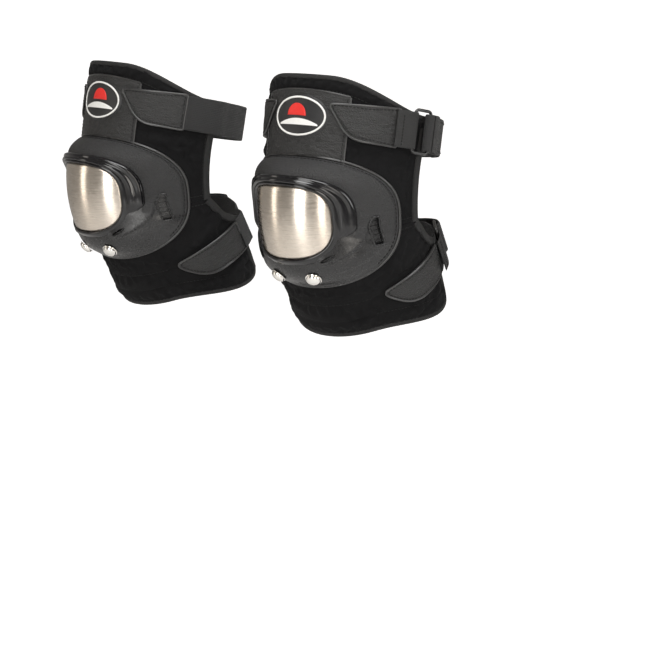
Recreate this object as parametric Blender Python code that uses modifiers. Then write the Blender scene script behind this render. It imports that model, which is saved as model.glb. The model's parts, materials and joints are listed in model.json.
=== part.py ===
"""A pair of motorcycle knee guards, as they sit on two slightly bent legs.

Each guard is a moulded cup with a stainless cap, riveted over a foam pad, between a soft thigh
wing and a soft shin wing. Each wing has stitched tabs, a webbing loop with a wire buckle, and an
elastic strap that runs behind the leg and folds back through the buckle.

Lengths are millimetres until a mesh is made, angles are degrees. A guard is modelled in its own
frame: the knee's centre at the origin, the front at -Y, up at +Z, the outer side at +X.
"""

import math

import bmesh
import bpy
from mathutils import Matrix, Vector

MM = 0.001

# Stance of the pair
KNEE_SPACING = 285.0
TOE_OUT = 6.0
CUP_PITCH = 8.0

# The leg that a guard wraps: a round tube whose middle is bent to an arc
LEG_RADIUS_KNEE = 77.0
THIGH_TAPER = 0.04
SHIN_TAPER = 0.08
ARC_HALF = 60.0
ARC_BEND = 19.0

# Layers, as distances outward from the leg
LINING_INNER, LINING_OUTER = 0.3, 1.6
WRAP_INNER, WRAP_OUTER = 1.9, 5.4
PANEL_INNER, PANEL_OUTER = 5.7, 7.0
PATCH_INNER, PATCH_OUTER = 7.3, 8.9
TAB_INNER, TAB_OUTER = 7.3, 9.1
PAD_INNER, PAD_OUTER = 0.6, 4.9
RIM_OFFSET = 8.4

# Outline of the cup on the leg
CUP_HALF_ANGLE = 73.0
CUP_MIDDLE = 7.0
CUP_HALF_LENGTH = 45.0
CUP_SQUARENESS = 2.7
CUP_THICKNESS = 2.6
CUP_BULGE = 7.0
# The piping lies beyond the rim, along the line from this share of the skirt.
PIPING_SHARE = 0.9
PIPING_DROP = 1.0
PIPING_REACH = 2.3
PIPING_RADIUS = 1.5
CUP_GAP_ANGLE = 5.5
CUP_GAP_LENGTH = 14.5

# Stainless cap and its bezel
CAP_RADIUS = 54.0
CAP_AXIS_Y = -56.0
CAP_HALF_ANGLE = 61.0
CAP_MIDDLE_Z = 16.0
CAP_HALF_HEIGHT = 37.0
CAP_CROWN = 5.5
CAP_SQUARENESS = 2.5
CAP_THICKNESS = 1.2
CAP_SHARE = 0.56
BEZEL_TOP = ((0.035, 4.2), (0.10, 5.8), (0.17, 5.4), (0.22, 3.2), (0.31, 2.8))
BEZEL_GAP = 0.5

# Rivets and vents of the cup
RIVET_X = 22.0
RIVET_Z = -42.0
RIVET_HEAD_RADIUS = 7.6
RIVET_HEAD_HEIGHT = 4.6
RIVET_HEAD_GAP = 1.1
RIVET_SHANK_RADIUS = 2.4
RIVET_HOLE_RADIUS = 2.8
RIVET_TAIL_RADIUS = 4.6
RIVET_TAIL_END = -5.2
RIVET_TAIL_TOP = -4.2
RIVET_TAIL_ROOT = -3.8
# The head's dome as (share of its radius, share of its height).
RIVET_DOME = ((0.72, 0.72), (0.38, 0.95), (0.0, 1.0))
RIVET_EDGE = 0.97
RIVET_EDGE_HEIGHT = 0.9
VENT_X = 72.5
VENT_Z = 0.0
VENT_WIDTH = 11.0
VENT_HEIGHT = 27.0
CUTTER_DEPTH = 30.0

# Wings
THIGH_TOP_FRONT = 127.0
THIGH_TOP_SIDE = 101.0
THIGH_EDGE_ANGLE = 92.0
SHIN_BOTTOM_FRONT = -90.0
SHIN_BOTTOM_SIDE = -116.0
SHIN_EDGE_TOP_ANGLE = 95.0
SHIN_EDGE_ANGLE = 127.0
PANEL_HALF_ANGLE = 34.0
PANEL_TOP = 113.0
EMBLEM_Z = 87.0
EMBLEM_HALF_WIDTH = 34.0
EMBLEM_HALF_HEIGHT = 21.5
BINDING_RADIUS = 1.7

# Straps
STRAP_THICKNESS = 1.8
STRAP_OFFSET = 2.4
WEBBING_THICKNESS = 1.2
BUCKLE_WIRE = 1.6
FOLD_CLEARANCE = 2.0
HOOK_THICKNESS = 0.9

# Motion
FLEX_EXTENSION = 8.0
FLEX_BEND = 20.0
MOTION_GAP = 1.2

COLLECTION_NAME = "knee_guards"
CUTTER_COLLECTION_NAME = "cutters"

MATERIALS = {
    "shell": ((0.012, 0.012, 0.013), 0.42, 0.0),
    "gloss": ((0.006, 0.006, 0.007), 0.10, 0.0),
    "steel": ((0.62, 0.58, 0.53), 0.28, 1.0),
    "chrome": ((0.80, 0.80, 0.80), 0.08, 1.0),
    "foam": ((0.035, 0.035, 0.037), 0.95, 0.0),
    "fabric": ((0.012, 0.012, 0.013), 0.90, 0.0),
    "lining": ((0.030, 0.030, 0.032), 0.95, 0.0),
    "leather": ((0.014, 0.014, 0.014), 0.50, 0.0),
    "binding": ((0.010, 0.010, 0.010), 0.80, 0.0),
    "emblem": ((0.60, 0.02, 0.02), 0.55, 0.0),
    "webbing": ((0.012, 0.012, 0.012), 0.75, 0.0),
    "elastic": ((0.010, 0.010, 0.010), 0.80, 0.0),
    "hook": ((0.008, 0.008, 0.008), 0.90, 0.0),
    "buckle": ((0.010, 0.010, 0.010), 0.30, 0.0),
}


# ---------------------------------------------------------------- the leg

def leg_radius(along):
    """Radius of the leg at a distance along it from the knee."""
    if along > 0.0:
        return LEG_RADIUS_KNEE + THIGH_TAPER * along
    return LEG_RADIUS_KNEE + SHIN_TAPER * along


def leg_frame(along):
    """Centre of the leg, its direction and the direction of its front."""
    arc_radius = ARC_HALF / math.radians(ARC_BEND)
    inside = max(-ARC_HALF, min(ARC_HALF, along))
    turn = inside / arc_radius
    centre = Vector((0.0, arc_radius * (1.0 - math.cos(turn)), arc_radius * math.sin(turn)))
    direction = Vector((0.0, math.sin(turn), math.cos(turn)))
    front = Vector((0.0, -math.cos(turn), math.sin(turn)))
    return centre + direction * (along - inside), direction, front


def leg_point(angle, along, offset):
    """A point at an angle round the leg from its front, and at a distance off its skin."""
    centre, _, front = leg_frame(along)
    radius = leg_radius(along) + offset
    turn = math.radians(angle)
    return centre + radius * (math.sin(turn) * Vector((1.0, 0.0, 0.0)) + math.cos(turn) * front)


def superellipse(turn, squareness):
    """The two coordinates of a unit superellipse."""
    power = 2.0 / squareness
    across = math.copysign(abs(math.cos(turn)) ** power, math.cos(turn))
    up = math.copysign(abs(math.sin(turn)) ** power, math.sin(turn))
    return across, up


def mix(low, high, share):
    return low + (high - low) * share


def smooth(low, high, value):
    share = max(0.0, min(1.0, (value - low) / (high - low)))
    return share * share * (3.0 - 2.0 * share)


# ---------------------------------------------------------------- the cup's surface

def cap_point(share, turn, lift):
    """A point on the barrel of the cap: share 0 at its middle, 1 at its edge."""
    across, up = superellipse(turn, CAP_SQUARENESS)
    angle = math.radians(CAP_HALF_ANGLE) * across * share
    rise = up * share
    radius = CAP_RADIUS + lift
    y = CAP_AXIS_Y - radius * math.cos(angle) + CAP_CROWN * rise * rise
    return Vector((radius * math.sin(angle), y, CAP_MIDDLE_Z + CAP_HALF_HEIGHT * rise))


def rim_point(turn, offset):
    """A point on the cup's outline, laid on the leg."""
    across, up = superellipse(turn, CUP_SQUARENESS)
    return leg_point(CUP_HALF_ANGLE * across, CUP_MIDDLE + CUP_HALF_LENGTH * up, offset)


def skirt_point(share, turn):
    """A point on the cup between the cap's edge, share 0, and the rim, share 1."""
    edge = cap_point(1.0, turn, -3.0)
    rim = rim_point(turn, RIM_OFFSET)
    point = edge.lerp(rim, share)
    outward = Vector((point.x, point.y - CAP_AXIS_Y * 0.3, 0.35 * (point.z - CAP_MIDDLE_Z))).normalized()
    return point + outward * (CUP_BULGE * math.sin(math.pi * share))


def skirt_normal(share, turn):
    """Outward normal of the cup there."""
    step = 0.01
    along = skirt_point(share + step, turn) - skirt_point(share - step, turn)
    across = skirt_point(share, turn + step) - skirt_point(share, turn - step)
    return along.cross(across).normalized()


def cup_point(share, turn):
    """A point on the cup's outer face, from its middle, share 0, to its rim, share 1."""
    if share <= CAP_SHARE:
        return cap_point(share / CAP_SHARE, turn, -3.0)
    return skirt_point((share - CAP_SHARE) / (1.0 - CAP_SHARE), turn)


def disc(u, v):
    """A square's point moved onto a round disc, as a share of its radius and a turn."""
    across = 2.0 * u - 1.0
    up = 2.0 * v - 1.0
    x = across * math.sqrt(1.0 - up * up / 2.0)
    y = up * math.sqrt(1.0 - across * across / 2.0)
    return math.hypot(x, y), math.atan2(y, x)


def cup_edge_along(angle, extra_angle, extra_length, sign):
    """Distance along the leg of the widened cup outline at an angle, above or below it."""
    across = min(1.0, abs(angle) / (CUP_HALF_ANGLE + extra_angle))
    rise = (1.0 - across ** CUP_SQUARENESS) ** (1.0 / CUP_SQUARENESS)
    return CUP_MIDDLE + sign * (CUP_HALF_LENGTH + extra_length) * rise


# ---------------------------------------------------------------- object makers

class Guard:
    """One guard of the pair: its side, its empties and the names of its parts."""

    def __init__(self, name, side, parts, cutters):
        self.name = name
        self.side = side
        self.parts = parts
        self.cutters = cutters
        self.frame = self.make_frame()
        self.pivots = {}

    def make_frame(self):
        place = Matrix.Translation(Vector((self.side * KNEE_SPACING / 2.0 * MM, 0.0, 0.0)))
        yaw = Matrix.Rotation(math.radians(TOE_OUT) * self.side, 4, "Z")
        pitch = Matrix.Rotation(math.radians(CUP_PITCH), 4, "X")
        return place @ yaw @ pitch

    def mirror(self, vector):
        return Vector((vector.x * self.side, vector.y, vector.z))

    def add_pivot(self, body, point, axis):
        """An empty on a joint's axis, its Z along the axis."""
        empty = bpy.data.objects.new(f"{body}_{self.name}_pivot", None)
        self.parts.objects.link(empty)
        empty.empty_display_size = 0.03
        turn = self.mirror(axis).to_track_quat("Z", "Y").to_matrix().to_4x4()
        local = Matrix.Translation(self.mirror(point) * MM) @ turn
        empty.matrix_world = self.frame @ local
        self.pivots[body] = (empty, local)

    def finish(self, name, data, body, material):
        """An object for one part, parented to its body's empty."""
        empty, local = self.pivots[body]
        part = bpy.data.objects.new(f"{name}_{self.name}", data)
        data.name = part.name
        data.transform(local.inverted())
        part.parent = empty
        self.parts.objects.link(part)
        data.materials.append(material_for(material))
        return part

    def mesh_part(self, name, bm, body, material, sharp=40.0):
        """A part from a bmesh in guard millimetres."""
        if self.side < 0:
            for vertex in bm.verts:
                vertex.co.x = -vertex.co.x
            bmesh.ops.reverse_faces(bm, faces=bm.faces)
        for vertex in bm.verts:
            vertex.co *= MM
        data = bpy.data.meshes.new(name)
        bm.to_mesh(data)
        bm.free()
        data.shade_smooth()
        data.set_sharp_from_angle(angle=math.radians(sharp))
        return self.finish(name, data, body, material)

    def tube_part(self, name, points, radius, body, material, cyclic, resolution=1):
        """A round tube through a list of points."""
        data = bpy.data.curves.new(name, "CURVE")
        data.dimensions = "3D"
        data.bevel_depth = radius * MM
        data.bevel_resolution = resolution
        data.use_fill_caps = True
        data.resolution_u = 1
        spline = data.splines.new("POLY")
        spline.points.add(len(points) - 1)
        for place, point in zip(spline.points, points):
            place.co = (*(self.mirror(point) * MM), 1.0)
        spline.use_cyclic_u = cyclic
        return self.finish(name, data, body, material)

    def sheet_part(self, name, point, columns, rows, thickness, body, material):
        """A curved sheet: a grid laid out by point(u, v), thickened inward."""
        bm = bmesh.new()
        add_sheet(bm, point, columns, rows)
        part = self.mesh_part(name, bm, body, material)
        add_thickness(part, thickness)
        return part


def material_for(name):
    """The Principled material of one finish, made once."""
    material = bpy.data.materials.get(name)
    if material is None:
        colour, roughness, metallic = MATERIALS[name]
        material = bpy.data.materials.new(name)
        material.use_nodes = True
        shader = material.node_tree.nodes["Principled BSDF"]
        shader.inputs["Base Color"].default_value = (*colour, 1.0)
        shader.inputs["Roughness"].default_value = roughness
        shader.inputs["Metallic"].default_value = metallic
    return material


def add_sheet(bm, point, columns, rows):
    """Adds a grid of faces whose corners are at point(u, v)."""
    made = bmesh.ops.create_grid(bm, x_segments=columns, y_segments=rows, size=0.5)
    for vertex in made["verts"]:
        vertex.co = point(vertex.co.x + 0.5, vertex.co.y + 0.5)
    return made["verts"]


def add_polar_sheet(bm, point, shares, steps):
    """Adds a round sheet: a middle vertex and rings at the given shares of the radius."""
    middle = bm.verts.new(point(0.0, 0.0))
    rings = []
    for share in shares:
        turns = [2.0 * math.pi * step / steps for step in range(steps)]
        rings.append([bm.verts.new(point(share, turn)) for turn in turns])
    for step in range(steps):
        after = (step + 1) % steps
        bm.faces.new((middle, rings[0][step], rings[0][after]))
        for near, far in zip(rings, rings[1:]):
            bm.faces.new((near[step], far[step], far[after], near[after]))


def add_thickness(part, thickness):
    modifier = part.modifiers.new("thickness", "SOLIDIFY")
    modifier.thickness = thickness * MM
    modifier.offset = -1.0
    modifier.use_even_offset = False


def add_loft(bm, sections, closed):
    """Adds a skin through rings of points; an open loft gets an end face on each end ring."""
    rings = [[bm.verts.new(point) for point in section] for section in sections]
    count = len(rings[0])
    spans = len(rings) if closed else len(rings) - 1
    for index in range(spans):
        near = rings[index]
        far = rings[(index + 1) % len(rings)]
        for corner in range(count):
            after = (corner + 1) % count
            bm.faces.new((near[corner], near[after], far[after], far[corner]))
    if not closed:
        bm.faces.new(reversed(rings[0]))
        bm.faces.new(rings[-1])


def cut(part, cutter):
    modifier = part.modifiers.new("cut", "BOOLEAN")
    modifier.operation = "DIFFERENCE"
    modifier.solver = "EXACT"
    modifier.object = cutter


# ---------------------------------------------------------------- cup parts

RING_STEPS = 30
BEZEL_SHARES = (0.05, 0.12, 0.20, 0.28, 0.36)
SKIRT_SHARES = BEZEL_SHARES + (0.52, 0.68, 0.84, 1.0)


def make_knee_shell(guard):
    """The moulded cup, open at the back, with holes for the rivets and the vents."""
    bm = bmesh.new()
    shares = [CAP_SHARE * share for share in (0.35, 0.7, 0.96)]
    shares += [CAP_SHARE + (1.0 - CAP_SHARE) * share for share in SKIRT_SHARES]
    add_polar_sheet(bm, cup_point, shares, RING_STEPS)
    shell = guard.mesh_part("knee_shell", bm, "knee", "shell")
    add_thickness(shell, CUP_THICKNESS)
    for sign in (-1, 1):
        cut(shell, make_rivet_cutter(guard, sign))
        cut(shell, make_vent_cutter(guard, sign))


def surface_at(x, z):
    """Point and outward normal of the cup at a place seen from the front."""
    share = 0.5
    turn = math.atan2(z - CAP_MIDDLE_Z, x)
    step = 0.001
    for _ in range(12):
        point = skirt_point(share, turn)
        by_share = (skirt_point(share + step, turn) - point) / step
        by_turn = (skirt_point(share, turn + step) - point) / step
        slopes = Matrix(((by_share.x, by_turn.x), (by_share.z, by_turn.z)))
        change = slopes.inverted() @ Vector((x - point.x, z - point.z))
        share += change.x
        turn += change.y
    return skirt_point(share, turn), skirt_normal(share, turn)


def seat_matrix(point, normal, up=Vector((0.0, 0.0, 1.0))):
    """A frame on the cup: Z along the normal, Y as near up as it can be."""
    side = up.cross(normal).normalized()
    rise = normal.cross(side)
    frame = Matrix((side, rise, normal)).transposed().to_4x4()
    return Matrix.Translation(point) @ frame


def rivet_seat(sign):
    return seat_matrix(*surface_at(sign * RIVET_X, RIVET_Z))


def vent_seat(sign):
    return seat_matrix(*surface_at(sign * VENT_X, VENT_Z))


def cutter_object(guard, name, bm):
    if guard.side < 0:
        for vertex in bm.verts:
            vertex.co.x = -vertex.co.x
        bmesh.ops.reverse_faces(bm, faces=bm.faces)
    for vertex in bm.verts:
        vertex.co *= MM
    data = bpy.data.meshes.new(name)
    bm.to_mesh(data)
    bm.free()
    cutter = bpy.data.objects.new(f"{name}_{guard.name}", data)
    cutter.matrix_world = guard.frame
    cutter.hide_render = True
    cutter.display_type = "WIRE"
    guard.cutters.objects.link(cutter)
    return cutter


def make_rivet_cutter(guard, sign):
    bm = bmesh.new()
    bmesh.ops.create_cone(
        bm, segments=12, radius1=RIVET_HOLE_RADIUS, radius2=RIVET_HOLE_RADIUS,
        depth=CUTTER_DEPTH, cap_ends=True, matrix=rivet_seat(sign),
    )
    return cutter_object(guard, f"rivet_hole_{'b' if sign < 0 else 'a'}", bm)


def make_vent_cutter(guard, sign):
    bm = bmesh.new()
    box = Matrix.Diagonal((VENT_WIDTH, VENT_HEIGHT, CUTTER_DEPTH, 1.0))
    bmesh.ops.create_cube(bm, size=1.0, matrix=vent_seat(sign) @ box)
    return cutter_object(guard, f"vent_hole_{'b' if sign < 0 else 'a'}", bm)


def turned_profile(bm, profile, steps, matrix):
    """Adds a body of revolution round Z from a profile of (radius, height) that starts and ends on the axis."""
    rings = []
    for radius, height in profile[1:-1]:
        ring = []
        for step in range(steps):
            turn = 2.0 * math.pi * step / steps
            ring.append(matrix @ Vector((radius * math.cos(turn), radius * math.sin(turn), height)))
        rings.append([bm.verts.new(point) for point in ring])
    first = bm.verts.new(matrix @ Vector((0.0, 0.0, profile[0][1])))
    last = bm.verts.new(matrix @ Vector((0.0, 0.0, profile[-1][1])))
    for step in range(steps):
        after = (step + 1) % steps
        bm.faces.new((first, rings[0][after], rings[0][step]))
        for near, far in zip(rings, rings[1:]):
            bm.faces.new((near[step], near[after], far[after], far[step]))
        bm.faces.new((last, rings[-1][step], rings[-1][after]))


RIVET_STEPS = 14


def make_cap_rivets(guard):
    """Two domed rivets, each with its shank through the cup and its tail spread behind it."""
    wide = RIVET_HEAD_RADIUS
    base = RIVET_HEAD_GAP
    profile = [
        (0.0, RIVET_TAIL_END), (RIVET_TAIL_RADIUS, RIVET_TAIL_END), (RIVET_TAIL_RADIUS, RIVET_TAIL_TOP),
        (RIVET_SHANK_RADIUS, RIVET_TAIL_ROOT), (RIVET_SHANK_RADIUS, base), (wide, base),
        (wide * RIVET_EDGE, base + RIVET_EDGE_HEIGHT),
    ]
    profile += [(wide * across, base + RIVET_HEAD_HEIGHT * up) for across, up in RIVET_DOME]
    for sign, label in ((-1, "inner"), (1, "outer")):
        bm = bmesh.new()
        turned_profile(bm, profile, RIVET_STEPS, rivet_seat(sign))
        bmesh.ops.recalc_face_normals(bm, faces=bm.faces)
        guard.mesh_part(f"cap_rivet_{label}", bm, "knee", "chrome")


def make_steel_cap(guard):
    """The barrel-shaped stainless cap."""
    guard.sheet_part(
        "steel_cap", lambda u, v: cap_point(disc(u, v)[0] * 0.985, disc(u, v)[1], 0.0), 12, 8,
        CAP_THICKNESS, "knee", "steel",
    )


def make_cap_bezel(guard):
    """The stepped glossy hood round the cap."""
    bm = bmesh.new()
    outline = [(share, BEZEL_GAP) for share in reversed(BEZEL_SHARES)] + list(BEZEL_TOP)
    sections = []
    for step in range(RING_STEPS):
        turn = 2.0 * math.pi * step / RING_STEPS
        sections.append([
            skirt_point(share, turn) + skirt_normal(share, turn) * height for share, height in outline
        ])
    add_loft(bm, sections, closed=True)
    bmesh.ops.recalc_face_normals(bm, faces=bm.faces)
    guard.mesh_part("cap_bezel", bm, "knee", "gloss")


def make_shell_piping(guard):
    """The piped edge of the cup."""
    points = []
    for step in range(RING_STEPS):
        turn = 2.0 * math.pi * step / RING_STEPS
        outward = rim_point(turn, RIM_OFFSET) - skirt_point(PIPING_SHARE, turn)
        points.append(rim_point(turn, RIM_OFFSET - PIPING_DROP) + outward.normalized() * PIPING_REACH)
    guard.tube_part("shell_piping", points, PIPING_RADIUS, "knee", "binding", cyclic=True)


def make_knee_pad(guard):
    """The foam pad behind the cup."""
    def point(u, v):
        share, turn = disc(u, v)
        across, up = superellipse(turn, CUP_SQUARENESS)
        angle = (CUP_HALF_ANGLE - 2.0) * across * share
        return leg_point(angle, CUP_MIDDLE + (CUP_HALF_LENGTH - 2.0) * up * share, PAD_OUTER)
    guard.sheet_part("knee_pad", point, 12, 6, PAD_OUTER - PAD_INNER, "knee", "foam")


# ---------------------------------------------------------------- wings

def thigh_top(angle):
    return mix(THIGH_TOP_FRONT, THIGH_TOP_SIDE, smooth(20.0, 90.0, abs(angle)))


def thigh_bottom(angle):
    """Lower edge of the thigh wing: over the cup, then just above the knee's middle."""
    y = -LEG_RADIUS_KNEE * math.cos(math.radians(angle))
    swing = math.tan(math.radians(FLEX_EXTENSION if y < 0.0 else FLEX_BEND))
    floor = abs(y) * swing + MOTION_GAP
    if abs(angle) >= CUP_HALF_ANGLE + CUP_GAP_ANGLE:
        return floor
    return max(floor, cup_edge_along(angle, CUP_GAP_ANGLE, CUP_GAP_LENGTH, 1.0))


def shin_bottom(angle):
    return mix(SHIN_BOTTOM_FRONT, SHIN_BOTTOM_SIDE, smooth(40.0, 115.0, abs(angle)))


def shin_top(angle):
    """Upper edge of the shin wing: under the cup, below the knee's middle, then down the back."""
    y = -LEG_RADIUS_KNEE * math.cos(math.radians(angle))
    swing = math.tan(math.radians(FLEX_EXTENSION if y < 0.0 else FLEX_BEND))
    ceiling = -abs(y) * swing - MOTION_GAP
    if abs(angle) > SHIN_EDGE_TOP_ANGLE:
        share = (abs(angle) - SHIN_EDGE_TOP_ANGLE) / (SHIN_EDGE_ANGLE - SHIN_EDGE_TOP_ANGLE)
        ceiling = min(ceiling, mix(-4.0, -42.0, share ** 0.7))
    if abs(angle) >= CUP_HALF_ANGLE + CUP_GAP_ANGLE:
        return ceiling
    return min(ceiling, cup_edge_along(angle, CUP_GAP_ANGLE, CUP_GAP_LENGTH, -1.0))


WING_COLUMNS = 28
THIGH_ROWS = 4
SHIN_ROWS = 3


def wing_angle(u, limit):
    """Angle round the leg at a column, with the columns closer at the cup's sides."""
    across = 2.0 * u - 1.0
    return limit * math.copysign(abs(across) ** 0.8, across)


def make_wing(guard, name, body, limit, top, bottom, inner, outer, material, rows):
    guard.sheet_part(
        name,
        lambda u, v: leg_point(
            wing_angle(u, limit), mix(bottom(wing_angle(u, limit)), top(wing_angle(u, limit)), v), outer,
        ),
        WING_COLUMNS, rows, outer - inner, body, material,
    )


def make_thigh_panel(guard):
    """The grained panel over the front of the thigh."""
    def point(u, v):
        angle = PANEL_HALF_ANGLE * (2.0 * u - 1.0)
        top = PANEL_TOP - 4.0 * abs(2.0 * u - 1.0) ** 2
        return leg_point(angle, mix(thigh_bottom(angle) + 1.0, top, v), PANEL_OUTER)
    guard.sheet_part("thigh_panel", point, 8, 3, PANEL_OUTER - PANEL_INNER, "thigh", "leather")


def make_emblem(guard):
    """The oval patch on the panel."""
    def point(u, v):
        share, turn = disc(u, v)
        radius = leg_radius(EMBLEM_Z) + PATCH_OUTER
        angle = math.degrees(EMBLEM_HALF_WIDTH / radius) * math.cos(turn) * share
        return leg_point(angle, EMBLEM_Z + EMBLEM_HALF_HEIGHT * math.sin(turn) * share, PATCH_OUTER)
    guard.sheet_part("emblem_patch", point, 6, 6, PATCH_OUTER - PATCH_INNER, "thigh", "emblem")


def make_thigh_binding(guard):
    """The bound edge: up one wing's back edge, over the top and down the other."""
    gap = BINDING_RADIUS + 0.4
    height = (WRAP_INNER + WRAP_OUTER) / 2.0
    edge = THIGH_EDGE_ANGLE + math.degrees(gap / LEG_RADIUS_KNEE)
    low = thigh_bottom(THIGH_EDGE_ANGLE) + gap
    high = thigh_top(THIGH_EDGE_ANGLE)
    side = [leg_point(edge, mix(low, high, step / 5.0), height) for step in range(6)]
    top = []
    for step in range(19):
        angle = THIGH_EDGE_ANGLE * (1.0 - step / 9.0)
        top.append(leg_point(angle, thigh_top(angle) + gap, height))
    other = [Vector((-point.x, point.y, point.z)) for point in reversed(side)]
    guard.tube_part("thigh_binding", side + top + other, BINDING_RADIUS, "thigh", "binding", cyclic=False)


def make_shin_binding(guard):
    """The bound edge: down one wing's back edge, along the hem and up the other."""
    gap = BINDING_RADIUS + 0.4
    height = (WRAP_INNER + WRAP_OUTER) / 2.0
    edge = SHIN_EDGE_ANGLE + math.degrees(gap / LEG_RADIUS_KNEE) + 0.3
    high = shin_top(SHIN_EDGE_ANGLE) - gap
    low = shin_bottom(SHIN_EDGE_ANGLE)
    side = [leg_point(edge, mix(high, low, step / 4.0), height) for step in range(5)]
    hem = []
    for step in range(23):
        angle = SHIN_EDGE_ANGLE * (1.0 - step / 11.0)
        hem.append(leg_point(angle, shin_bottom(angle) - gap, height))
    other = [Vector((-point.x, point.y, point.z)) for point in reversed(side)]
    guard.tube_part("shin_binding", side + hem + other, BINDING_RADIUS, "shin", "binding", cyclic=False)


# ---------------------------------------------------------------- straps

class StrapLine:
    """Where one strap and its buckle run round the leg."""

    def __init__(self, name, body, along, half_width, lift, tab_corners, loop_start, front_bar, rear_bar,
                 wing_edge, tail_end):
        self.name = name
        self.body = body
        self.along = along
        self.half_width = half_width
        self.lift = lift
        self.tab_corners = tab_corners
        self.loop_start = loop_start
        self.front_bar = front_bar
        self.rear_bar = rear_bar
        self.wing_edge = wing_edge
        self.tail_end = tail_end


UPPER = StrapLine(
    "upper", "thigh", 86.0, 18.0, 0.8,
    ((21.0, 101.0), (67.0, 104.5), (67.0, 67.5), (36.0, 68.5)),
    67.6, 78.0, 90.0, THIGH_EDGE_ANGLE, 150.0,
)
LOWER = StrapLine(
    "lower", "shin", -62.0, 17.0, 2.2,
    ((53.0, -52.0), (114.0, -43.5), (118.0, -80.0), (74.0, -79.0)),
    119.0, 130.0, 144.0, SHIN_EDGE_ANGLE, 184.0,
)

LOOP_OFFSET = 9.6
REAR_BAR_OFFSET = 12.0
BINDING_ANGLE = 4.5
FOLD_STEPS = 6
LOOP_CLEARANCE = 0.5
LOOP_STRAIGHT_ANGLE = 4.0
STRAP_OVER_WING = 2.2
STRAP_OFF_WING_ANGLE = 8.0
STRAP_STEP_ANGLE = 12.0
# Where the strap leaves the leg for the rear bar, and where it is most of the way out.
STRAP_RISE_ANGLE = 14.0
STRAP_RISING_ANGLE = 7.0
STRAP_RISING_SHARE = 0.7
TAIL_CREASE_ANGLE = 0.2
TAIL_START_ANGLE = 0.7
TAIL_EASE_ANGLE = 4.0
TAIL_EASE_DROP = 0.6
# The tail's way down to the strap, as (angle past the rear bar, share of the drop).
TAIL_FALL = ((10.0, 0.45), (16.0, 0.9))
TAIL_FLAT_ANGLE = 20.0
TAIL_STEP_ANGLE = 9.0
TAIL_REST_GAP = 0.8
HOOK_START_ANGLE = 23.0
HOOK_END_ANGLE = 2.0
HOOK_GAP = 0.3
HOOK_MARGIN = 2.0


def make_tab(guard, line, label, sign):
    """A stitched tab on the wing, front edge slanted."""
    first, second, third, fourth = line.tab_corners

    def point(u, v):
        top = (mix(first[0], second[0], u), mix(first[1], second[1], u))
        bottom = (mix(fourth[0], third[0], u), mix(fourth[1], third[1], u))
        return leg_point(mix(bottom[0], top[0], v), mix(bottom[1], top[1], v), TAB_OUTER)
    bm = bmesh.new()
    add_sheet(bm, point, 6, 3)
    if sign < 0:
        for vertex in bm.verts:
            vertex.co.x = -vertex.co.x
        bmesh.ops.reverse_faces(bm, faces=bm.faces)
    part = guard.mesh_part(f"{line.name}_tab_{label}", bm, line.body, "leather")
    add_thickness(part, TAB_OUTER - TAB_INNER)


def ribbon(guard, name, body, material, line, route, half_width, thickness):
    """A flat strip on a route of (angle, offset) points; the offset is of its middle."""
    centre, direction, front = leg_frame(line.along)
    side = Vector((1.0, 0.0, 0.0))
    radius = leg_radius(line.along)
    flat = []
    for angle, offset in route:
        turn = math.radians(angle)
        flat.append((radius + offset) * Vector((math.sin(turn), math.cos(turn))))
    sections = []
    for index, place in enumerate(flat):
        before = flat[max(0, index - 1)]
        after = flat[min(len(flat) - 1, index + 1)]
        along = (after - before).normalized()
        normal = Vector((along.y, -along.x)) * (thickness / 2.0)
        corners = []
        for sign, rise in ((1, -1), (1, 1), (-1, 1), (-1, -1)):
            spot = place + normal * sign
            corners.append(centre + side * spot.x + front * spot.y + direction * (half_width * rise))
        sections.append(corners)
    bm = bmesh.new()
    add_loft(bm, sections, closed=False)
    bmesh.ops.recalc_face_normals(bm, faces=bm.faces)
    guard.mesh_part(name, bm, body, material)


def fold_route(line, bar_angle, bar_offset, fold_radius, opens):
    """A half turn round a bar, as (angle, offset): opens is +1 where the strip leaves backwards."""
    radius = leg_radius(line.along)
    turn = math.radians(bar_angle)
    bar = (radius + bar_offset) * Vector((math.sin(turn), math.cos(turn)))
    outward = Vector((math.sin(turn), math.cos(turn)))
    backward = Vector((math.cos(turn), -math.sin(turn)))
    route = []
    for step in range(FOLD_STEPS + 1):
        swing = math.pi * step / FOLD_STEPS
        spot = bar - outward * (fold_radius * math.cos(swing)) - backward * (opens * fold_radius * math.sin(swing))
        route.append((math.degrees(math.atan2(spot.x, spot.y)), spot.length - radius))
    return route


def wrapped(angle):
    return angle % 360.0


def make_webbing_loop(guard, line):
    """Webbing from the outer tab, round the buckle's front bar and back."""
    fold = BUCKLE_WIRE + LOOP_CLEARANCE + WEBBING_THICKNESS / 2.0
    middle = LOOP_OFFSET + line.lift
    low = middle - fold
    high = middle + fold
    straight = line.front_bar - LOOP_STRAIGHT_ANGLE
    route = [(line.loop_start, low), (straight, low)]
    route += fold_route(line, line.front_bar, middle, fold, -1.0)
    route += [(straight, high), (line.loop_start, high)]
    ribbon(guard, f"{line.name}_webbing_loop", line.body, "webbing", line, route, line.half_width, WEBBING_THICKNESS)


def fold_radius_rear():
    return BUCKLE_WIRE + FOLD_CLEARANCE + STRAP_THICKNESS / 2.0


def strap_back_offset():
    return STRAP_OFFSET + STRAP_THICKNESS / 2.0


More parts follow.
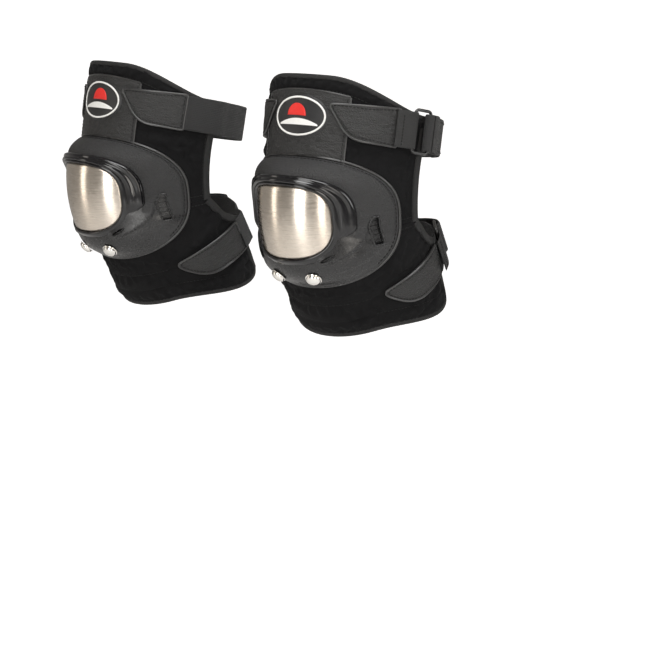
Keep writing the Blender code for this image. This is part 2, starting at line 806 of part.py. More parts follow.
def make_strap(guard, line):
    """Elastic strap: from the inner tab, behind the leg, round the buckle's rear bar."""
    fold = fold_radius_rear()
    bar_offset = REAR_BAR_OFFSET + line.lift
    over = WRAP_OUTER + STRAP_OVER_WING + line.lift
    start = wrapped(-line.loop_start)
    edge = wrapped(-line.wing_edge) - BINDING_ANGLE
    route = [(mix(start, edge, step / 3.0), over) for step in range(4)]
    first = edge - STRAP_OFF_WING_ANGLE
    last = line.rear_bar + STRAP_RISE_ANGLE
    steps = max(4, int((first - last) / STRAP_STEP_ANGLE))
    for step in range(steps + 1):
        route.append((mix(first, last, step / steps), strap_back_offset()))
    rising = mix(strap_back_offset(), bar_offset - fold, STRAP_RISING_SHARE)
    route.append((line.rear_bar + STRAP_RISING_ANGLE, rising))
    route += fold_route(line, line.rear_bar, bar_offset, fold, 1.0)
    ribbon(guard, f"{line.name}_strap", line.body, "elastic", line, route, line.half_width, STRAP_THICKNESS)


def tail_pivot(line):
    """The crease that the folded-back end peels about."""
    offset = REAR_BAR_OFFSET + line.lift + fold_radius_rear() + STRAP_THICKNESS / 2.0
    return leg_point(line.rear_bar + TAIL_CREASE_ANGLE, line.along, offset)


def make_strap_tail(guard, line):
    """The folded-back end, held on the strap by hook and loop."""
    fold = fold_radius_rear()
    high = REAR_BAR_OFFSET + line.lift + fold
    resting = strap_back_offset() + STRAP_THICKNESS + HOOK_THICKNESS + TAIL_REST_GAP
    route = [
        (line.rear_bar + TAIL_START_ANGLE, high), (line.rear_bar + TAIL_EASE_ANGLE, high - TAIL_EASE_DROP),
    ]
    route += [(line.rear_bar + angle, mix(high, resting, share)) for angle, share in TAIL_FALL]
    flat = line.rear_bar + TAIL_FLAT_ANGLE
    steps = max(3, int((line.tail_end - flat) / TAIL_STEP_ANGLE))
    for step in range(steps + 1):
        route.append((mix(flat, line.tail_end, step / steps), resting))
    body = f"{line.name}_tail"
    ribbon(guard, f"{line.name}_strap_tail", body, "elastic", line, route, line.half_width, STRAP_THICKNESS)
    hook_offset = resting - STRAP_THICKNESS / 2.0 - HOOK_GAP - HOOK_THICKNESS / 2.0
    hook_start = line.rear_bar + HOOK_START_ANGLE
    hook_end = line.tail_end - HOOK_END_ANGLE
    hook = [(mix(hook_start, hook_end, step / steps), hook_offset) for step in range(steps + 1)]
    hook_half = line.half_width - HOOK_MARGIN
    ribbon(guard, f"{line.name}_hook_patch", body, "hook", line, hook, hook_half, HOOK_THICKNESS)


def make_buckle(guard, line):
    """A rectangular wire buckle, its front bar in the webbing loop."""
    _, direction, _ = leg_frame(line.along)
    front = leg_point(line.front_bar, line.along, LOOP_OFFSET + line.lift)
    rear = leg_point(line.rear_bar, line.along, REAR_BAR_OFFSET + line.lift)
    half = line.half_width + 1.2 + BUCKLE_WIRE
    corner = 2.6
    inward = (rear - front).normalized() * corner
    points = [
        front + direction * (half - corner), front + direction * half + inward,
        rear + direction * half - inward, rear + direction * (half - corner),
        rear - direction * (half - corner), rear - direction * half - inward,
        front - direction * half + inward, front - direction * (half - corner),
    ]
    guard.tube_part(
        f"{line.name}_buckle", points, BUCKLE_WIRE, f"{line.name}_buckle", "buckle", cyclic=True, resolution=2,
    )


# ---------------------------------------------------------------- the pair

def make_guard(name, side, parts, cutters):
    guard = Guard(name, side, parts, cutters)
    across = Vector((1.0, 0.0, 0.0))
    middle = Vector((0.0, 0.0, 0.0))
    for body in ("knee", "thigh", "shin"):
        guard.add_pivot(body, middle, across)
    for line in (UPPER, LOWER):
        _, direction, _ = leg_frame(line.along)
        front_bar = leg_point(line.front_bar, line.along, LOOP_OFFSET + line.lift)
        guard.add_pivot(f"{line.name}_buckle", front_bar, direction)
        guard.add_pivot(f"{line.name}_tail", tail_pivot(line), direction)
    bpy.context.view_layer.update()

    make_knee_shell(guard)
    make_shell_piping(guard)
    make_cap_bezel(guard)
    make_steel_cap(guard)
    make_cap_rivets(guard)
    make_knee_pad(guard)

    make_wing(guard, "thigh_wrap", "thigh", THIGH_EDGE_ANGLE, thigh_top, thigh_bottom,
              WRAP_INNER, WRAP_OUTER, "fabric", THIGH_ROWS)
    make_wing(guard, "thigh_lining", "thigh", THIGH_EDGE_ANGLE, thigh_top, thigh_bottom,
              LINING_INNER, LINING_OUTER, "lining", THIGH_ROWS)
    make_thigh_panel(guard)
    make_emblem(guard)
    make_thigh_binding(guard)

    make_wing(guard, "shin_wrap", "shin", SHIN_EDGE_ANGLE, shin_top, shin_bottom,
              WRAP_INNER, WRAP_OUTER, "fabric", SHIN_ROWS)
    make_wing(guard, "shin_lining", "shin", SHIN_EDGE_ANGLE, shin_top, shin_bottom,
              LINING_INNER, LINING_OUTER, "lining", SHIN_ROWS)
    make_shin_binding(guard)

    for line in (UPPER, LOWER):
        make_tab(guard, line, "outer", 1)
        make_tab(guard, line, "inner", -1)
        make_webbing_loop(guard, line)
        make_buckle(guard, line)
        make_strap(guard, line)
        make_strap_tail(guard, line)


def main():
    for item in list(bpy.data.objects):
        bpy.data.objects.remove(item, do_unlink=True)
    parts = bpy.data.collections.new(COLLECTION_NAME)
    cutters = bpy.data.collections.new(CUTTER_COLLECTION_NAME)
    bpy.context.scene.collection.children.link(parts)
    bpy.context.scene.collection.children.link(cutters)
    make_guard("left", 1, parts, cutters)
    make_guard("right", -1, parts, cutters)


main()
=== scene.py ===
"""Looks of a pair of motorcycle knee guards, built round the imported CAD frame.

Every piece is modelled once, in the left guard's own millimetres (the knee's centre at the origin,
the front at -Y, up at +Z, the outer side at +X), then placed on the left guard and mirrored onto
the right one. The formulas of the leg, the cup and the straps are the CAD model's own.
"""

import json
import math
from collections import namedtuple

import bmesh
import bpy
from mathutils import Matrix, Vector, noise


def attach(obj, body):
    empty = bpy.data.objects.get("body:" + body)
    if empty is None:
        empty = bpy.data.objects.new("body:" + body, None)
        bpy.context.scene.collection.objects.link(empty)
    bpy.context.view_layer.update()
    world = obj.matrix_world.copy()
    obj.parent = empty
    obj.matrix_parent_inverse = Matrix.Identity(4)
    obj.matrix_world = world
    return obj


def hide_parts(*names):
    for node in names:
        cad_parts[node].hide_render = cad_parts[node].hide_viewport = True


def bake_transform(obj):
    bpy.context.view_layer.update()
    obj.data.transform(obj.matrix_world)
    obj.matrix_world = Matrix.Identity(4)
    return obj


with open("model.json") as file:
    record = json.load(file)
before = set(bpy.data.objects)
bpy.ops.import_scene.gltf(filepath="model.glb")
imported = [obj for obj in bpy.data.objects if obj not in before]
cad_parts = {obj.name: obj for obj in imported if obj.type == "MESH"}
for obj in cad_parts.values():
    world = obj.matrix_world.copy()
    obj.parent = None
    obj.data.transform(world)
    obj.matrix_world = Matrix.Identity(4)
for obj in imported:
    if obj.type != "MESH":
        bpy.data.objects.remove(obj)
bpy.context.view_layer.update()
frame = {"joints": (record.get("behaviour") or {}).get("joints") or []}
JOINTS = {joint["name"]: joint for joint in frame["joints"]}
MM = 0.001
CUP_PITCH = 8.0

# ---------------------------------------------------------------- the leg and the layers on it

LEG_RADIUS_KNEE = 77.0
THIGH_TAPER = 0.04
SHIN_TAPER = 0.08
ARC_HALF = 60.0
ARC_BEND = 19.0

LINING_INNER, LINING_OUTER = 0.3, 1.6
WRAP_INNER, WRAP_OUTER = 1.9, 5.4
PANEL_INNER, PANEL_OUTER = 5.5, 7.0
PATCH_INNER, PATCH_OUTER = 6.8, 8.9
TAB_INNER, TAB_OUTER = 6.6, 9.3
PAD_INNER, PAD_OUTER = 0.6, 4.9
FLAP_INNER, FLAP_OUTER = 5.0, 5.6
RIM_OFFSET = 8.4

CUP_HALF_ANGLE = 73.0
CUP_MIDDLE = 7.0
CUP_HALF_LENGTH = 45.0
CUP_SQUARENESS = 2.7
CUP_THICKNESS = 2.6
CUP_BULGE = 7.0
CAP_RADIUS = 54.0
CAP_AXIS_Y = -56.0
CAP_HALF_ANGLE = 61.0
CAP_MIDDLE_Z = 16.0
CAP_HALF_HEIGHT = 37.0
CAP_CROWN = 5.5
CAP_SQUARENESS = 2.5
CAP_DROP = -3.0
RIVET_X = 22.0
RIVET_Z = -42.0
VENT_X = 72.5
VENT_Z = 0.0

THIGH_TOP_FRONT = 127.0
THIGH_TOP_SIDE = 101.0
THIGH_EDGE_ANGLE = 92.0
SHIN_BOTTOM_FRONT = -90.0
SHIN_BOTTOM_SIDE = -116.0
SHIN_EDGE_TOP_ANGLE = 95.0
SHIN_EDGE_ANGLE = 127.0
PANEL_HALF_ANGLE = 34.0
PANEL_TOP = 113.0
EMBLEM_Z = 87.0
MM_PER_DEGREE = 1.45

X = Vector((1.0, 0.0, 0.0))
Z = Vector((0.0, 0.0, 1.0))


def mix(low, high, share):
    return low + (high - low) * share


def smooth(low, high, value):
    share = max(0.0, min(1.0, (value - low) / (high - low)))
    return share * share * (3.0 - 2.0 * share)


def spread(low, high, count):
    """Values from low to high in even steps, both ends included."""
    return [mix(low, high, step / count) for step in range(count + 1)]


def circle(count):
    """Even turns round a full circle."""
    return [2.0 * math.pi * step / count for step in range(count)]


def oval(half_width, half_height, count):
    """Places round an ellipse."""
    return [(half_width * math.cos(turn), half_height * math.sin(turn)) for turn in circle(count)]


def ring(radius, height, steps):
    """Points round a level circle."""
    return [Vector((radius * math.cos(turn), radius * math.sin(turn), height)) for turn in circle(steps)]


def add_object(name, data):
    """A new object in the scene."""
    made = bpy.data.objects.new(name, data)
    bpy.context.scene.collection.objects.link(made)
    return made


def leg_radius(along):
    """Radius of the leg at a distance along it from the knee."""
    if along > 0.0:
        return LEG_RADIUS_KNEE + THIGH_TAPER * along
    return LEG_RADIUS_KNEE + SHIN_TAPER * along


def leg_frame(along):
    """Centre of the leg, its direction and the direction of its front."""
    arc_radius = ARC_HALF / math.radians(ARC_BEND)
    inside = max(-ARC_HALF, min(ARC_HALF, along))
    turn = inside / arc_radius
    centre = Vector((0.0, arc_radius * (1.0 - math.cos(turn)), arc_radius * math.sin(turn)))
    direction = Vector((0.0, math.sin(turn), math.cos(turn)))
    front = Vector((0.0, -math.cos(turn), math.sin(turn)))
    return centre + direction * (along - inside), direction, front


def leg_normal(angle, along):
    """Direction straight out of the leg."""
    front = leg_frame(along)[2]
    turn = math.radians(angle)
    return math.sin(turn) * X + math.cos(turn) * front


def leg_point(angle, along, offset):
    """A point at an angle round the leg from its front, and at a distance off its skin."""
    centre = leg_frame(along)[0]
    return centre + (leg_radius(along) + offset) * leg_normal(angle, along)


def superellipse(turn, squareness):
    """The two coordinates of a unit superellipse."""
    power = 2.0 / squareness
    across = math.copysign(abs(math.cos(turn)) ** power, math.cos(turn))
    up = math.copysign(abs(math.sin(turn)) ** power, math.sin(turn))
    return across, up


# ---------------------------------------------------------------- the cup's surface

def cap_point(share, turn, lift):
    """A point on the barrel of the cap: share 0 at its middle, 1 at its edge."""
    across, up = superellipse(turn, CAP_SQUARENESS)
    angle = math.radians(CAP_HALF_ANGLE) * across * share
    rise = up * share
    radius = CAP_RADIUS + lift
    y = CAP_AXIS_Y - radius * math.cos(angle) + CAP_CROWN * rise * rise
    return Vector((radius * math.sin(angle), y, CAP_MIDDLE_Z + CAP_HALF_HEIGHT * rise))


def rim_place(turn, share=1.0):
    """Angle and distance along the leg of the cup's outline, or of a smaller copy of it."""
    across, up = superellipse(turn, CUP_SQUARENESS)
    return CUP_HALF_ANGLE * across * share, CUP_MIDDLE + CUP_HALF_LENGTH * up * share


def rim_point(turn, offset):
    angle, along = rim_place(turn)
    return leg_point(angle, along, offset)


def rim_share(angle, along):
    """How far out a place on the leg is within the cup's outline: 1 on it, less inside."""
    across = abs(angle) / CUP_HALF_ANGLE
    up = abs(along - CUP_MIDDLE) / CUP_HALF_LENGTH
    return (across ** CUP_SQUARENESS + up ** CUP_SQUARENESS) ** (1.0 / CUP_SQUARENESS)


def skirt_point(share, turn):
    """A point on the cup between the cap's edge, share 0, and the rim, share 1."""
    point = cap_point(1.0, turn, CAP_DROP).lerp(rim_point(turn, RIM_OFFSET), share)
    outward = Vector((point.x, point.y - CAP_AXIS_Y * 0.3, 0.35 * (point.z - CAP_MIDDLE_Z))).normalized()
    return point + outward * (CUP_BULGE * math.sin(math.pi * share))


def skirt_normal(share, turn):
    step = 0.01
    along = skirt_point(share + step, turn) - skirt_point(share - step, turn)
    across = skirt_point(share, turn + step) - skirt_point(share, turn - step)
    return along.cross(across).normalized()


def surface_at(x, z):
    """Share and turn of the cup's skirt at a place seen from the front."""
    share = 0.5
    turn = math.atan2(z - CAP_MIDDLE_Z, x)
    step = 0.001
    for _ in range(12):
        point = skirt_point(share, turn)
        by_share = (skirt_point(share + step, turn) - point) / step
        by_turn = (skirt_point(share, turn + step) - point) / step
        slopes = Matrix(((by_share.x, by_turn.x), (by_share.z, by_turn.z)))
        change = slopes.inverted() @ Vector((x - point.x, z - point.z))
        share += change.x
        turn += change.y
    return share, turn


def seat_at(x, z):
    """A frame on the cup: Z along its normal, Y as near up as it can be."""
    share, turn = surface_at(x, z)
    normal = skirt_normal(share, turn)
    side = Z.cross(normal).normalized()
    rise = normal.cross(side)
    grid = Matrix((side, rise, normal)).transposed().to_4x4()
    return Matrix.Translation(skirt_point(share, turn)) @ grid


def from_side(turn):
    """A turn round the cup in degrees: 90 at the top, 0 at either side, -90 at the bottom."""
    return math.degrees(math.atan2(math.sin(turn), abs(math.cos(turn))))


# ---------------------------------------------------------------- mesh building

class Shape:
    """Points and faces of a piece, with each point's place on the flat material and its zone."""

    def __init__(self):
        self.points = []
        self.faces = []
        self.flat = []
        self.zone = []

    def row(self, points, flat=None, zone=None):
        start = len(self.points)
        self.points.extend(points)
        self.flat.extend(flat or [(0.0, 0.0)] * len(points))
        self.zone.extend(zone or [0.0] * len(points))
        return list(range(start, start + len(points)))

    def join(self, rows, wrap=False, ring=False):
        """Quads between neighbouring rows; wrap closes each row, ring closes the run of rows."""
        pairs = list(zip(rows, rows[1:]))
        if ring:
            pairs.append((rows[-1], rows[0]))
        for near, far in pairs:
            count = len(near)
            for place in range(count if wrap else count - 1):
                after = (place + 1) % count
                self.faces.append((near[place], near[after], far[after], far[place]))

    def slab(self, top, bottom, flat):
        """A closed sheet between two grids of points of the same size."""
        upper = [self.row(points, places) for points, places in zip(top, flat)]
        lower = [self.row(points, places) for points, places in zip(bottom, flat)]
        self.join(upper)
        self.join([list(reversed(row)) for row in lower])
        self.join([upper[0], lower[0]])
        self.join([lower[-1], upper[-1]])
        self.join([[row[0] for row in lower], [row[0] for row in upper]])
        self.join([[row[-1] for row in upper], [row[-1] for row in lower]])

    def mesh(self, sharp=50.0):
        data = bpy.data.meshes.new("shape")
        data.from_pydata([tuple(point) for point in self.points], [], self.faces)
        layer = data.uv_layers.new(name="flat")
        for loop in data.loops:
            layer.data[loop.index].uv = self.flat[loop.vertex_index]
        marks = data.attributes.new("zone", "FLOAT", "POINT")
        marks.data.foreach_set("value", self.zone)
        return cleaned(data, sharp)


def cleaned(data, sharp):
    """Faces turned outward, shaded smooth except over sharp edges."""
    bm = bmesh.new()
    bm.from_mesh(data)
    bmesh.ops.recalc_face_normals(bm, faces=bm.faces)
    bm.to_mesh(data)
    bm.free()
    data.shade_smooth()
    data.set_sharp_from_angle(angle=math.radians(sharp))
    return data


def sheets(columns, rows, at):
    """Grids of points and flat places: one grid for each value that at(column, row) gives."""
    cells = [[at(column, row) for column in range(columns + 1)] for row in range(rows + 1)]
    return [[[cell[layer] for cell in row] for row in cells] for layer in range(len(cells[0][0]))]


def resampled(path, pitch, closed=False):
    """Points and normals of a path at an even pitch."""
    if closed:
        path = path + [path[0]]
    lengths = [0.0]
    for (a, _), (b, _) in zip(path, path[1:]):
        lengths.append(lengths[-1] + (b - a).length)
    count = max(2, round(lengths[-1] / pitch))
    found = []
    index = 0
    for step in range(count if closed else count + 1):
        reach = lengths[-1] * step / count
        while index < len(path) - 2 and lengths[index + 1] < reach:
            index += 1
        span = max(1e-9, lengths[index + 1] - lengths[index])
        share = (reach - lengths[index]) / span
        point = path[index][0].lerp(path[index + 1][0], share)
        normal = path[index][1].lerp(path[index + 1][1], share).normalized()
        found.append((point, normal))
    return found


def add_tube(shape, path, width, height, sides=12, closed=False, squareness=2.0):
    """A tube of elliptic or flattened section along a path of points and normals."""
    rows = []
    count = len(path)
    run = 0.0
    for index, (point, normal) in enumerate(path):
        before = path[(index - 1) % count if closed else max(0, index - 1)][0]
        after = path[(index + 1) % count if closed else min(count - 1, index + 1)][0]
        along = (after - before).normalized()
        side = along.cross(normal).normalized()
        rise = side.cross(along).normalized()
        run += (point - path[max(0, index - 1)][0]).length
        section = []
        flat = []
        for turn in circle(sides):
            across, up = superellipse(turn, squareness)
            section.append(point + side * (across * width / 2.0) + rise * (up * height / 2.0))
            flat.append((across * width / 2.0, run))
        rows.append(shape.row(section, flat))
    shape.join(rows, wrap=True, ring=closed)
    if not closed:
        shape.faces.append(tuple(rows[0]))
        shape.faces.append(tuple(reversed(rows[-1])))


def add_stitches(shape, path, closed=False, pitch=3.8, length=2.5, thread=0.9, lift=0.1):
    """A row of stitches: short arched threads whose ends dip into the surface."""
    fine = resampled(path, pitch / 6.0, closed)
    for start in range(0, len(fine) - 5, 6):
        stitch = []
        spans = max(2, round(6.0 * length / pitch))
        for step in range(spans + 1):
            point, normal = fine[start + step]
            arch = math.sin(math.pi * step / spans)
            stitch.append((point + normal * (lift + 0.45 * arch - 0.3), normal))
        add_tube(shape, stitch, thread, thread, sides=6)


def rounded(corners, radii, closed=True, spacing=2.0):
    """A flat outline through corners, each rounded off, with points at an even spacing."""
    count = len(corners)
    found = []
    for index, corner in enumerate(corners):
        here = Vector(corner)
        if not closed and index in (0, count - 1):
            found.append(here)
            continue
        before = Vector(corners[(index - 1) % count]) - here
        after = Vector(corners[(index + 1) % count]) - here
        reach_before = min(radii[index], before.length * 0.48)
        reach_after = min(radii[index], after.length * 0.48)
        start = here + before.normalized() * reach_before
        end = here + after.normalized() * reach_after
        for step in range(9):
            share = step / 8.0
            found.append(start.lerp(here, share).lerp(here.lerp(end, share), share))
    path = [(Vector((point.x, point.y, 0.0)), Z) for point in found]
    return [(point.x, point.y) for point, _ in resampled(path, spacing, closed)]


def add_outline_pad(shape, outline, surface, bottom, top, edge=0.8, crown=0.0, rings=6):
    """A closed pad over a flat outline: surface(x, y, height) gives the points."""
    centre_x = sum(place[0] for place in outline) / len(outline)
    centre_y = sum(place[1] for place in outline) / len(outline)
    shares = [step / rings for step in range(1, rings)] + [0.955, 0.985, 1.0]
    rows = []
    for share in shares:
        drop = edge * smooth(0.93, 1.0, share) ** 2
        height = top - drop + crown * (1.0 - share ** 4)
        places = [(mix(centre_x, x, share), mix(centre_y, y, share)) for x, y in outline]
        rows.append(shape.row([surface(x, y, height) for x, y in places], places))
    lower = shape.row([surface(x, y, bottom) for x, y in outline], list(outline))
    middle = shape.row([surface(centre_x, centre_y, top + crown)], [(centre_x, centre_y)])[0]
    shape.join(rows + [lower], wrap=True)
    count = len(outline)
    for step in range(count):
        shape.faces.append((middle, rows[0][step], rows[0][(step + 1) % count]))
    shape.faces.append(tuple(reversed(lower)))


def add_turned(shape, profile, steps, matrix):
    """A body of revolution round the matrix's Z; the profile starts and ends on the axis."""
    rings = []
    for radius, height in profile[1:-1]:
        rings.append(shape.row([matrix @ point for point in ring(radius, height, steps)]))
    first = shape.row([matrix @ Vector((0.0, 0.0, profile[0][1]))])[0]
    last = shape.row([matrix @ Vector((0.0, 0.0, profile[-1][1]))])[0]
    shape.join(rings, wrap=True)
    for step in range(steps):
        after = (step + 1) % steps
        shape.faces.append((first, rings[0][after], rings[0][step]))
        shape.faces.append((last, rings[-1][step], rings[-1][after]))


def smooth_route(places, steps=6):
    """A smooth curve through flat places (Catmull-Rom)."""
    found = []
    for index in range(len(places) - 1):
        p0 = places[max(0, index - 1)]
        p1 = places[index]
        p2 = places[index + 1]
        p3 = places[min(len(places) - 1, index + 2)]
        for step in range(steps):
            t = step / steps
            found.append(0.5 * (
                2.0 * p1 + (p2 - p0) * t + (2.0 * p0 - 5.0 * p1 + 4.0 * p2 - p3) * t * t
                + (3.0 * p1 - 3.0 * p2 + p3 - p0) * t * t * t
            ))
    found.append(places[-1])
    return found


# ---------------------------------------------------------------- materials

def start_material(name, colour, roughness, metallic=0.0, **constants):
    """A Principled material and a helper that adds nodes to it."""
    material = bpy.data.materials.new(name)
    material.use_nodes = True
    tree = material.node_tree
    shader = tree.nodes["Principled BSDF"]
    shader.inputs["Base Color"].default_value = (*colour, 1.0)
    shader.inputs["Roughness"].default_value = roughness
    shader.inputs["Metallic"].default_value = metallic
    for socket, value in constants.items():
        shader.inputs[socket.replace("_", " ")].default_value = value
    return material, Nodes(tree, shader)


class Nodes:
    """Short names for the nodes that the materials share."""

    def __init__(self, tree, shader):
        self.tree = tree
        self.shader = shader

    def link(self, source, target):
        self.tree.links.new(source, target)

    def fill(self, socket, value):
        """A socket takes a link from another one, or a value of its own."""
        if isinstance(value, bpy.types.NodeSocket):
            self.link(value, socket)
        else:
            socket.default_value = value

    def node(self, kind, **settings):
        made = self.tree.nodes.new(kind)
        for key, value in settings.items():
            setattr(made, key, value)
        return made

    def feed(self, node, **inputs):
        for key, value in inputs.items():
            self.fill(node.inputs[key.replace("_", " ")], value)
        return node

    def place(self, flat=True, scale=(1.0, 1.0, 1.0)):
        """Coordinates in millimetres: on the flat material, or in space."""
        mapping = self.node("ShaderNodeMapping")
        if flat:
            source = self.node("ShaderNodeUVMap", uv_map="flat").outputs["UV"]
            mapping.inputs["Scale"].default_value = scale
        else:
            source = self.node("ShaderNodeTexCoord").outputs["Object"]
            mapping.inputs["Scale"].default_value = tuple(value / MM for value in scale)
        self.link(source, mapping.inputs["Vector"])
        return mapping.outputs["Vector"]

    def noise(self, where, scale, detail=3.0, rough=0.55):
        made = self.node("ShaderNodeTexNoise")
        self.feed(made, Vector=where, Scale=scale, Detail=detail, Roughness=rough)
        return made.outputs["Fac"]

    def cells(self, where, scale, feature="DISTANCE_TO_EDGE", random=1.0):
        made = self.node("ShaderNodeTexVoronoi", feature=feature)
        self.feed(made, Vector=where, Scale=scale, Randomness=random)
        return made.outputs["Distance"]

    def wave(self, where, scale, direction, distortion=0.0):
        made = self.node("ShaderNodeTexWave", bands_direction=direction)
        self.feed(made, Vector=where, Scale=scale, Distortion=distortion, Detail=1.0)
        return made.outputs["Fac"]

    def math(self, operation, a, b):
        made = self.node("ShaderNodeMath", operation=operation)
        for socket, value in zip(made.inputs, (a, b)):
            self.fill(socket, value)
        return made.outputs["Value"]

    def span(self, value, low, high, to_low, to_high):
        made = self.node("ShaderNodeMapRange")
        self.feed(made, From_Min=low, From_Max=high, To_Min=to_low, To_Max=to_high, Value=value)
        return made.outputs["Result"]

    def tint(self, value, low, high):
        """Base colour between two colours."""
        made = self.node("ShaderNodeMix", data_type="RGBA")
        self.link(value, made.inputs["Factor"])
        made.inputs[6].default_value = (*low, 1.0)
        made.inputs[7].default_value = (*high, 1.0)
        self.link(made.outputs[2], self.shader.inputs["Base Color"])

    def rough(self, value):
        self.link(value, self.shader.inputs["Roughness"])

    def bump(self, height, depth, strength=1.0, under=None):
        """Bump of a depth in millimetres, over another bump."""
        made = self.node("ShaderNodeBump")
        self.feed(made, Distance=depth * MM, Strength=strength, Height=height)
        if under:
            self.link(under, made.inputs["Normal"])
        self.link(made.outputs["Normal"], self.shader.inputs["Normal"])
        return made.outputs["Normal"]


def cup_plastic():
    material, nodes = start_material("cup_plastic", (0.012, 0.012, 0.0125), 0.4, Specular_IOR_Level=0.55)
    zone = nodes.node("ShaderNodeAttribute", attribute_name="zone").outputs["Fac"]
    space = nodes.place(flat=False)
    grains = nodes.noise(space, 0.58, 3.0, 0.7)
    cloud = nodes.noise(space, 0.05, 3.0)
    scuffs = nodes.noise(space, 0.35, 4.0, 0.7)
    satin = nodes.span(scuffs, 0.35, 0.7, 0.24, 0.36)
    grainy = nodes.span(grains, 0.3, 0.7, 0.40, 0.58)
    gap = nodes.math("SUBTRACT", grainy, satin)
    nodes.rough(nodes.math("ADD", satin, nodes.math("MULTIPLY", gap, zone)))
    nodes.tint(cloud, (0.010, 0.010, 0.0105), (0.017, 0.017, 0.018))
    orange_peel = nodes.bump(scuffs, 0.05, 0.5)
    nodes.bump(nodes.math("MULTIPLY", grains, zone), 1.6, 1.0, orange_peel)
    return material


def gloss_plastic():
    material, nodes = start_material("gloss_plastic", (0.006, 0.006, 0.007), 0.09, Specular_IOR_Level=0.6)
    space = nodes.place(flat=False)
    nodes.rough(nodes.span(nodes.noise(space, 0.12, 4.0, 0.7), 0.35, 0.7, 0.03, 0.09))
    nodes.bump(nodes.noise(space, 0.16, 2.0), 0.10, 0.5)
    return material


def brushed_steel():
    material, nodes = start_material(
        "brushed_steel", (0.66, 0.61, 0.55), 0.3, 1.0, Anisotropic=0.8, Anisotropic_Rotation=0.25,
    )
    tangent = nodes.node("ShaderNodeTangent", direction_type="UV_MAP", uv_map="flat")
    nodes.link(tangent.outputs["Tangent"], nodes.shader.inputs["Tangent"])
    lines = nodes.noise(nodes.place(scale=(0.045, 3.2, 1.0)), 1.0, 4.0, 0.65)
    broad = nodes.noise(nodes.place(scale=(0.02, 0.35, 1.0)), 1.0, 3.0, 0.6)
    fine_part = nodes.span(lines, 0.3, 0.7, 0.22, 0.32)
    nodes.rough(nodes.math("ADD", fine_part, nodes.span(broad, 0.3, 0.7, -0.02, 0.04)))
    nodes.tint(lines, (0.60, 0.53, 0.45), (0.80, 0.73, 0.65))
    nodes.bump(lines, 0.016, 0.7)
    return material


def chrome():
    material, nodes = start_material("chrome", (0.86, 0.84, 0.80), 0.08, 1.0)
    space = nodes.place(flat=False)
    nodes.rough(nodes.span(nodes.noise(space, 0.5, 4.0, 0.7), 0.35, 0.75, 0.04, 0.20))
    nodes.bump(nodes.noise(space, 0.25, 2.0), 0.05, 0.4)
    return material


def stretch_fabric():
    material, nodes = start_material(
        "stretch_fabric", (0.007, 0.007, 0.0075), 0.88, Specular_IOR_Level=0.12,
        Sheen_Weight=0.02, Sheen_Roughness=0.45,
    )
    flat = nodes.place()
    warp = nodes.wave(flat, 0.42, "X", 0.6)
    weft = nodes.wave(flat, 0.42, "Y", 0.6)
    weave = nodes.math("MULTIPLY", warp, weft)
    cloud = nodes.noise(nodes.place(flat=False), 0.035, 4.0, 0.6)
    nodes.tint(cloud, (0.0045, 0.0045, 0.005), (0.010, 0.010, 0.0105))
    fuzz = nodes.bump(nodes.noise(nodes.place(flat=False), 1.6, 3.0), 0.12, 0.8)
    nodes.bump(weave, 0.16, 0.8, fuzz)
    return material


def leather():
    material, nodes = start_material("grained_leather", (0.016, 0.016, 0.016), 0.45, Specular_IOR_Level=0.5)
    flat = nodes.place()
    cells = nodes.cells(flat, 0.50)
    creases = nodes.noise(nodes.place(scale=(0.12, 0.34, 1.0)), 1.0, 5.0, 0.65)
    pores = nodes.noise(flat, 2.2, 2.0)
    nodes.rough(nodes.span(cells, 0.0, 0.45, 0.52, 0.32))
    # The colour follows the crease relief, darker where it is low: painted shade in the leather's creases.
    nodes.tint(creases, (0.008, 0.008, 0.008), (0.020, 0.020, 0.020))
    big = nodes.bump(creases, 2.2, 1.0)
    grain = nodes.bump(nodes.span(cells, 0.0, 0.36, 0.0, 1.0), 0.34, 1.0, big)
    nodes.bump(pores, 0.06, 0.5, grain)
    return material


def edge_binding():
    material, nodes = start_material("edge_binding", (0.013, 0.013, 0.013), 0.7, Specular_IOR_Level=0.35)
    flat = nodes.place()
    ribs = nodes.wave(flat, 0.5, "Y", 0.3)
    cloud = nodes.noise(nodes.place(flat=False), 0.2, 3.0)
    nodes.tint(cloud, (0.010, 0.010, 0.010), (0.020, 0.020, 0.020))
    nodes.bump(nodes.noise(nodes.place(flat=False), 1.4, 2.0), 0.08, 0.8, nodes.bump(ribs, 0.12, 0.7))
    return material


def elastic():
    material, nodes = start_material(
        "elastic", (0.014, 0.014, 0.0145), 0.72, Specular_IOR_Level=0.4, Sheen_Weight=0.08,
    )
    flat = nodes.place()
    threads = nodes.wave(flat, 0.55, "Y", 0.4)
    fuzz = nodes.noise(nodes.place(flat=False), 1.3, 3.0)
    nodes.tint(threads, (0.010, 0.010, 0.010), (0.022, 0.022, 0.023))
    nodes.bump(threads, 0.18, 0.8, nodes.bump(fuzz, 0.10, 0.8))
    return material


def webbing():
    material, nodes = start_material("webbing", (0.016, 0.016, 0.016), 0.62, Specular_IOR_Level=0.45)
    flat = nodes.place()
    ribs = nodes.wave(flat, 0.38, "X")
    picks = nodes.wave(flat, 0.62, "Y", 0.3)
    nodes.tint(picks, (0.010, 0.010, 0.010), (0.025, 0.025, 0.025))
    nodes.bump(picks, 0.15, 0.8, nodes.bump(ribs, 0.22, 0.9))
    return material


def hook_tape():
    material, nodes = start_material("hook_tape", (0.010, 0.010, 0.010), 0.6)
    flat = nodes.place()
    hooks = nodes.cells(flat, 0.85, "F1", 0.25)
    nodes.tint(nodes.span(hooks, 0.1, 0.5, 1.0, 0.0), (0.006, 0.006, 0.006), (0.030, 0.030, 0.030))
    nodes.bump(nodes.span(hooks, 0.1, 0.5, 1.0, 0.0), 0.5, 1.0)
    return material


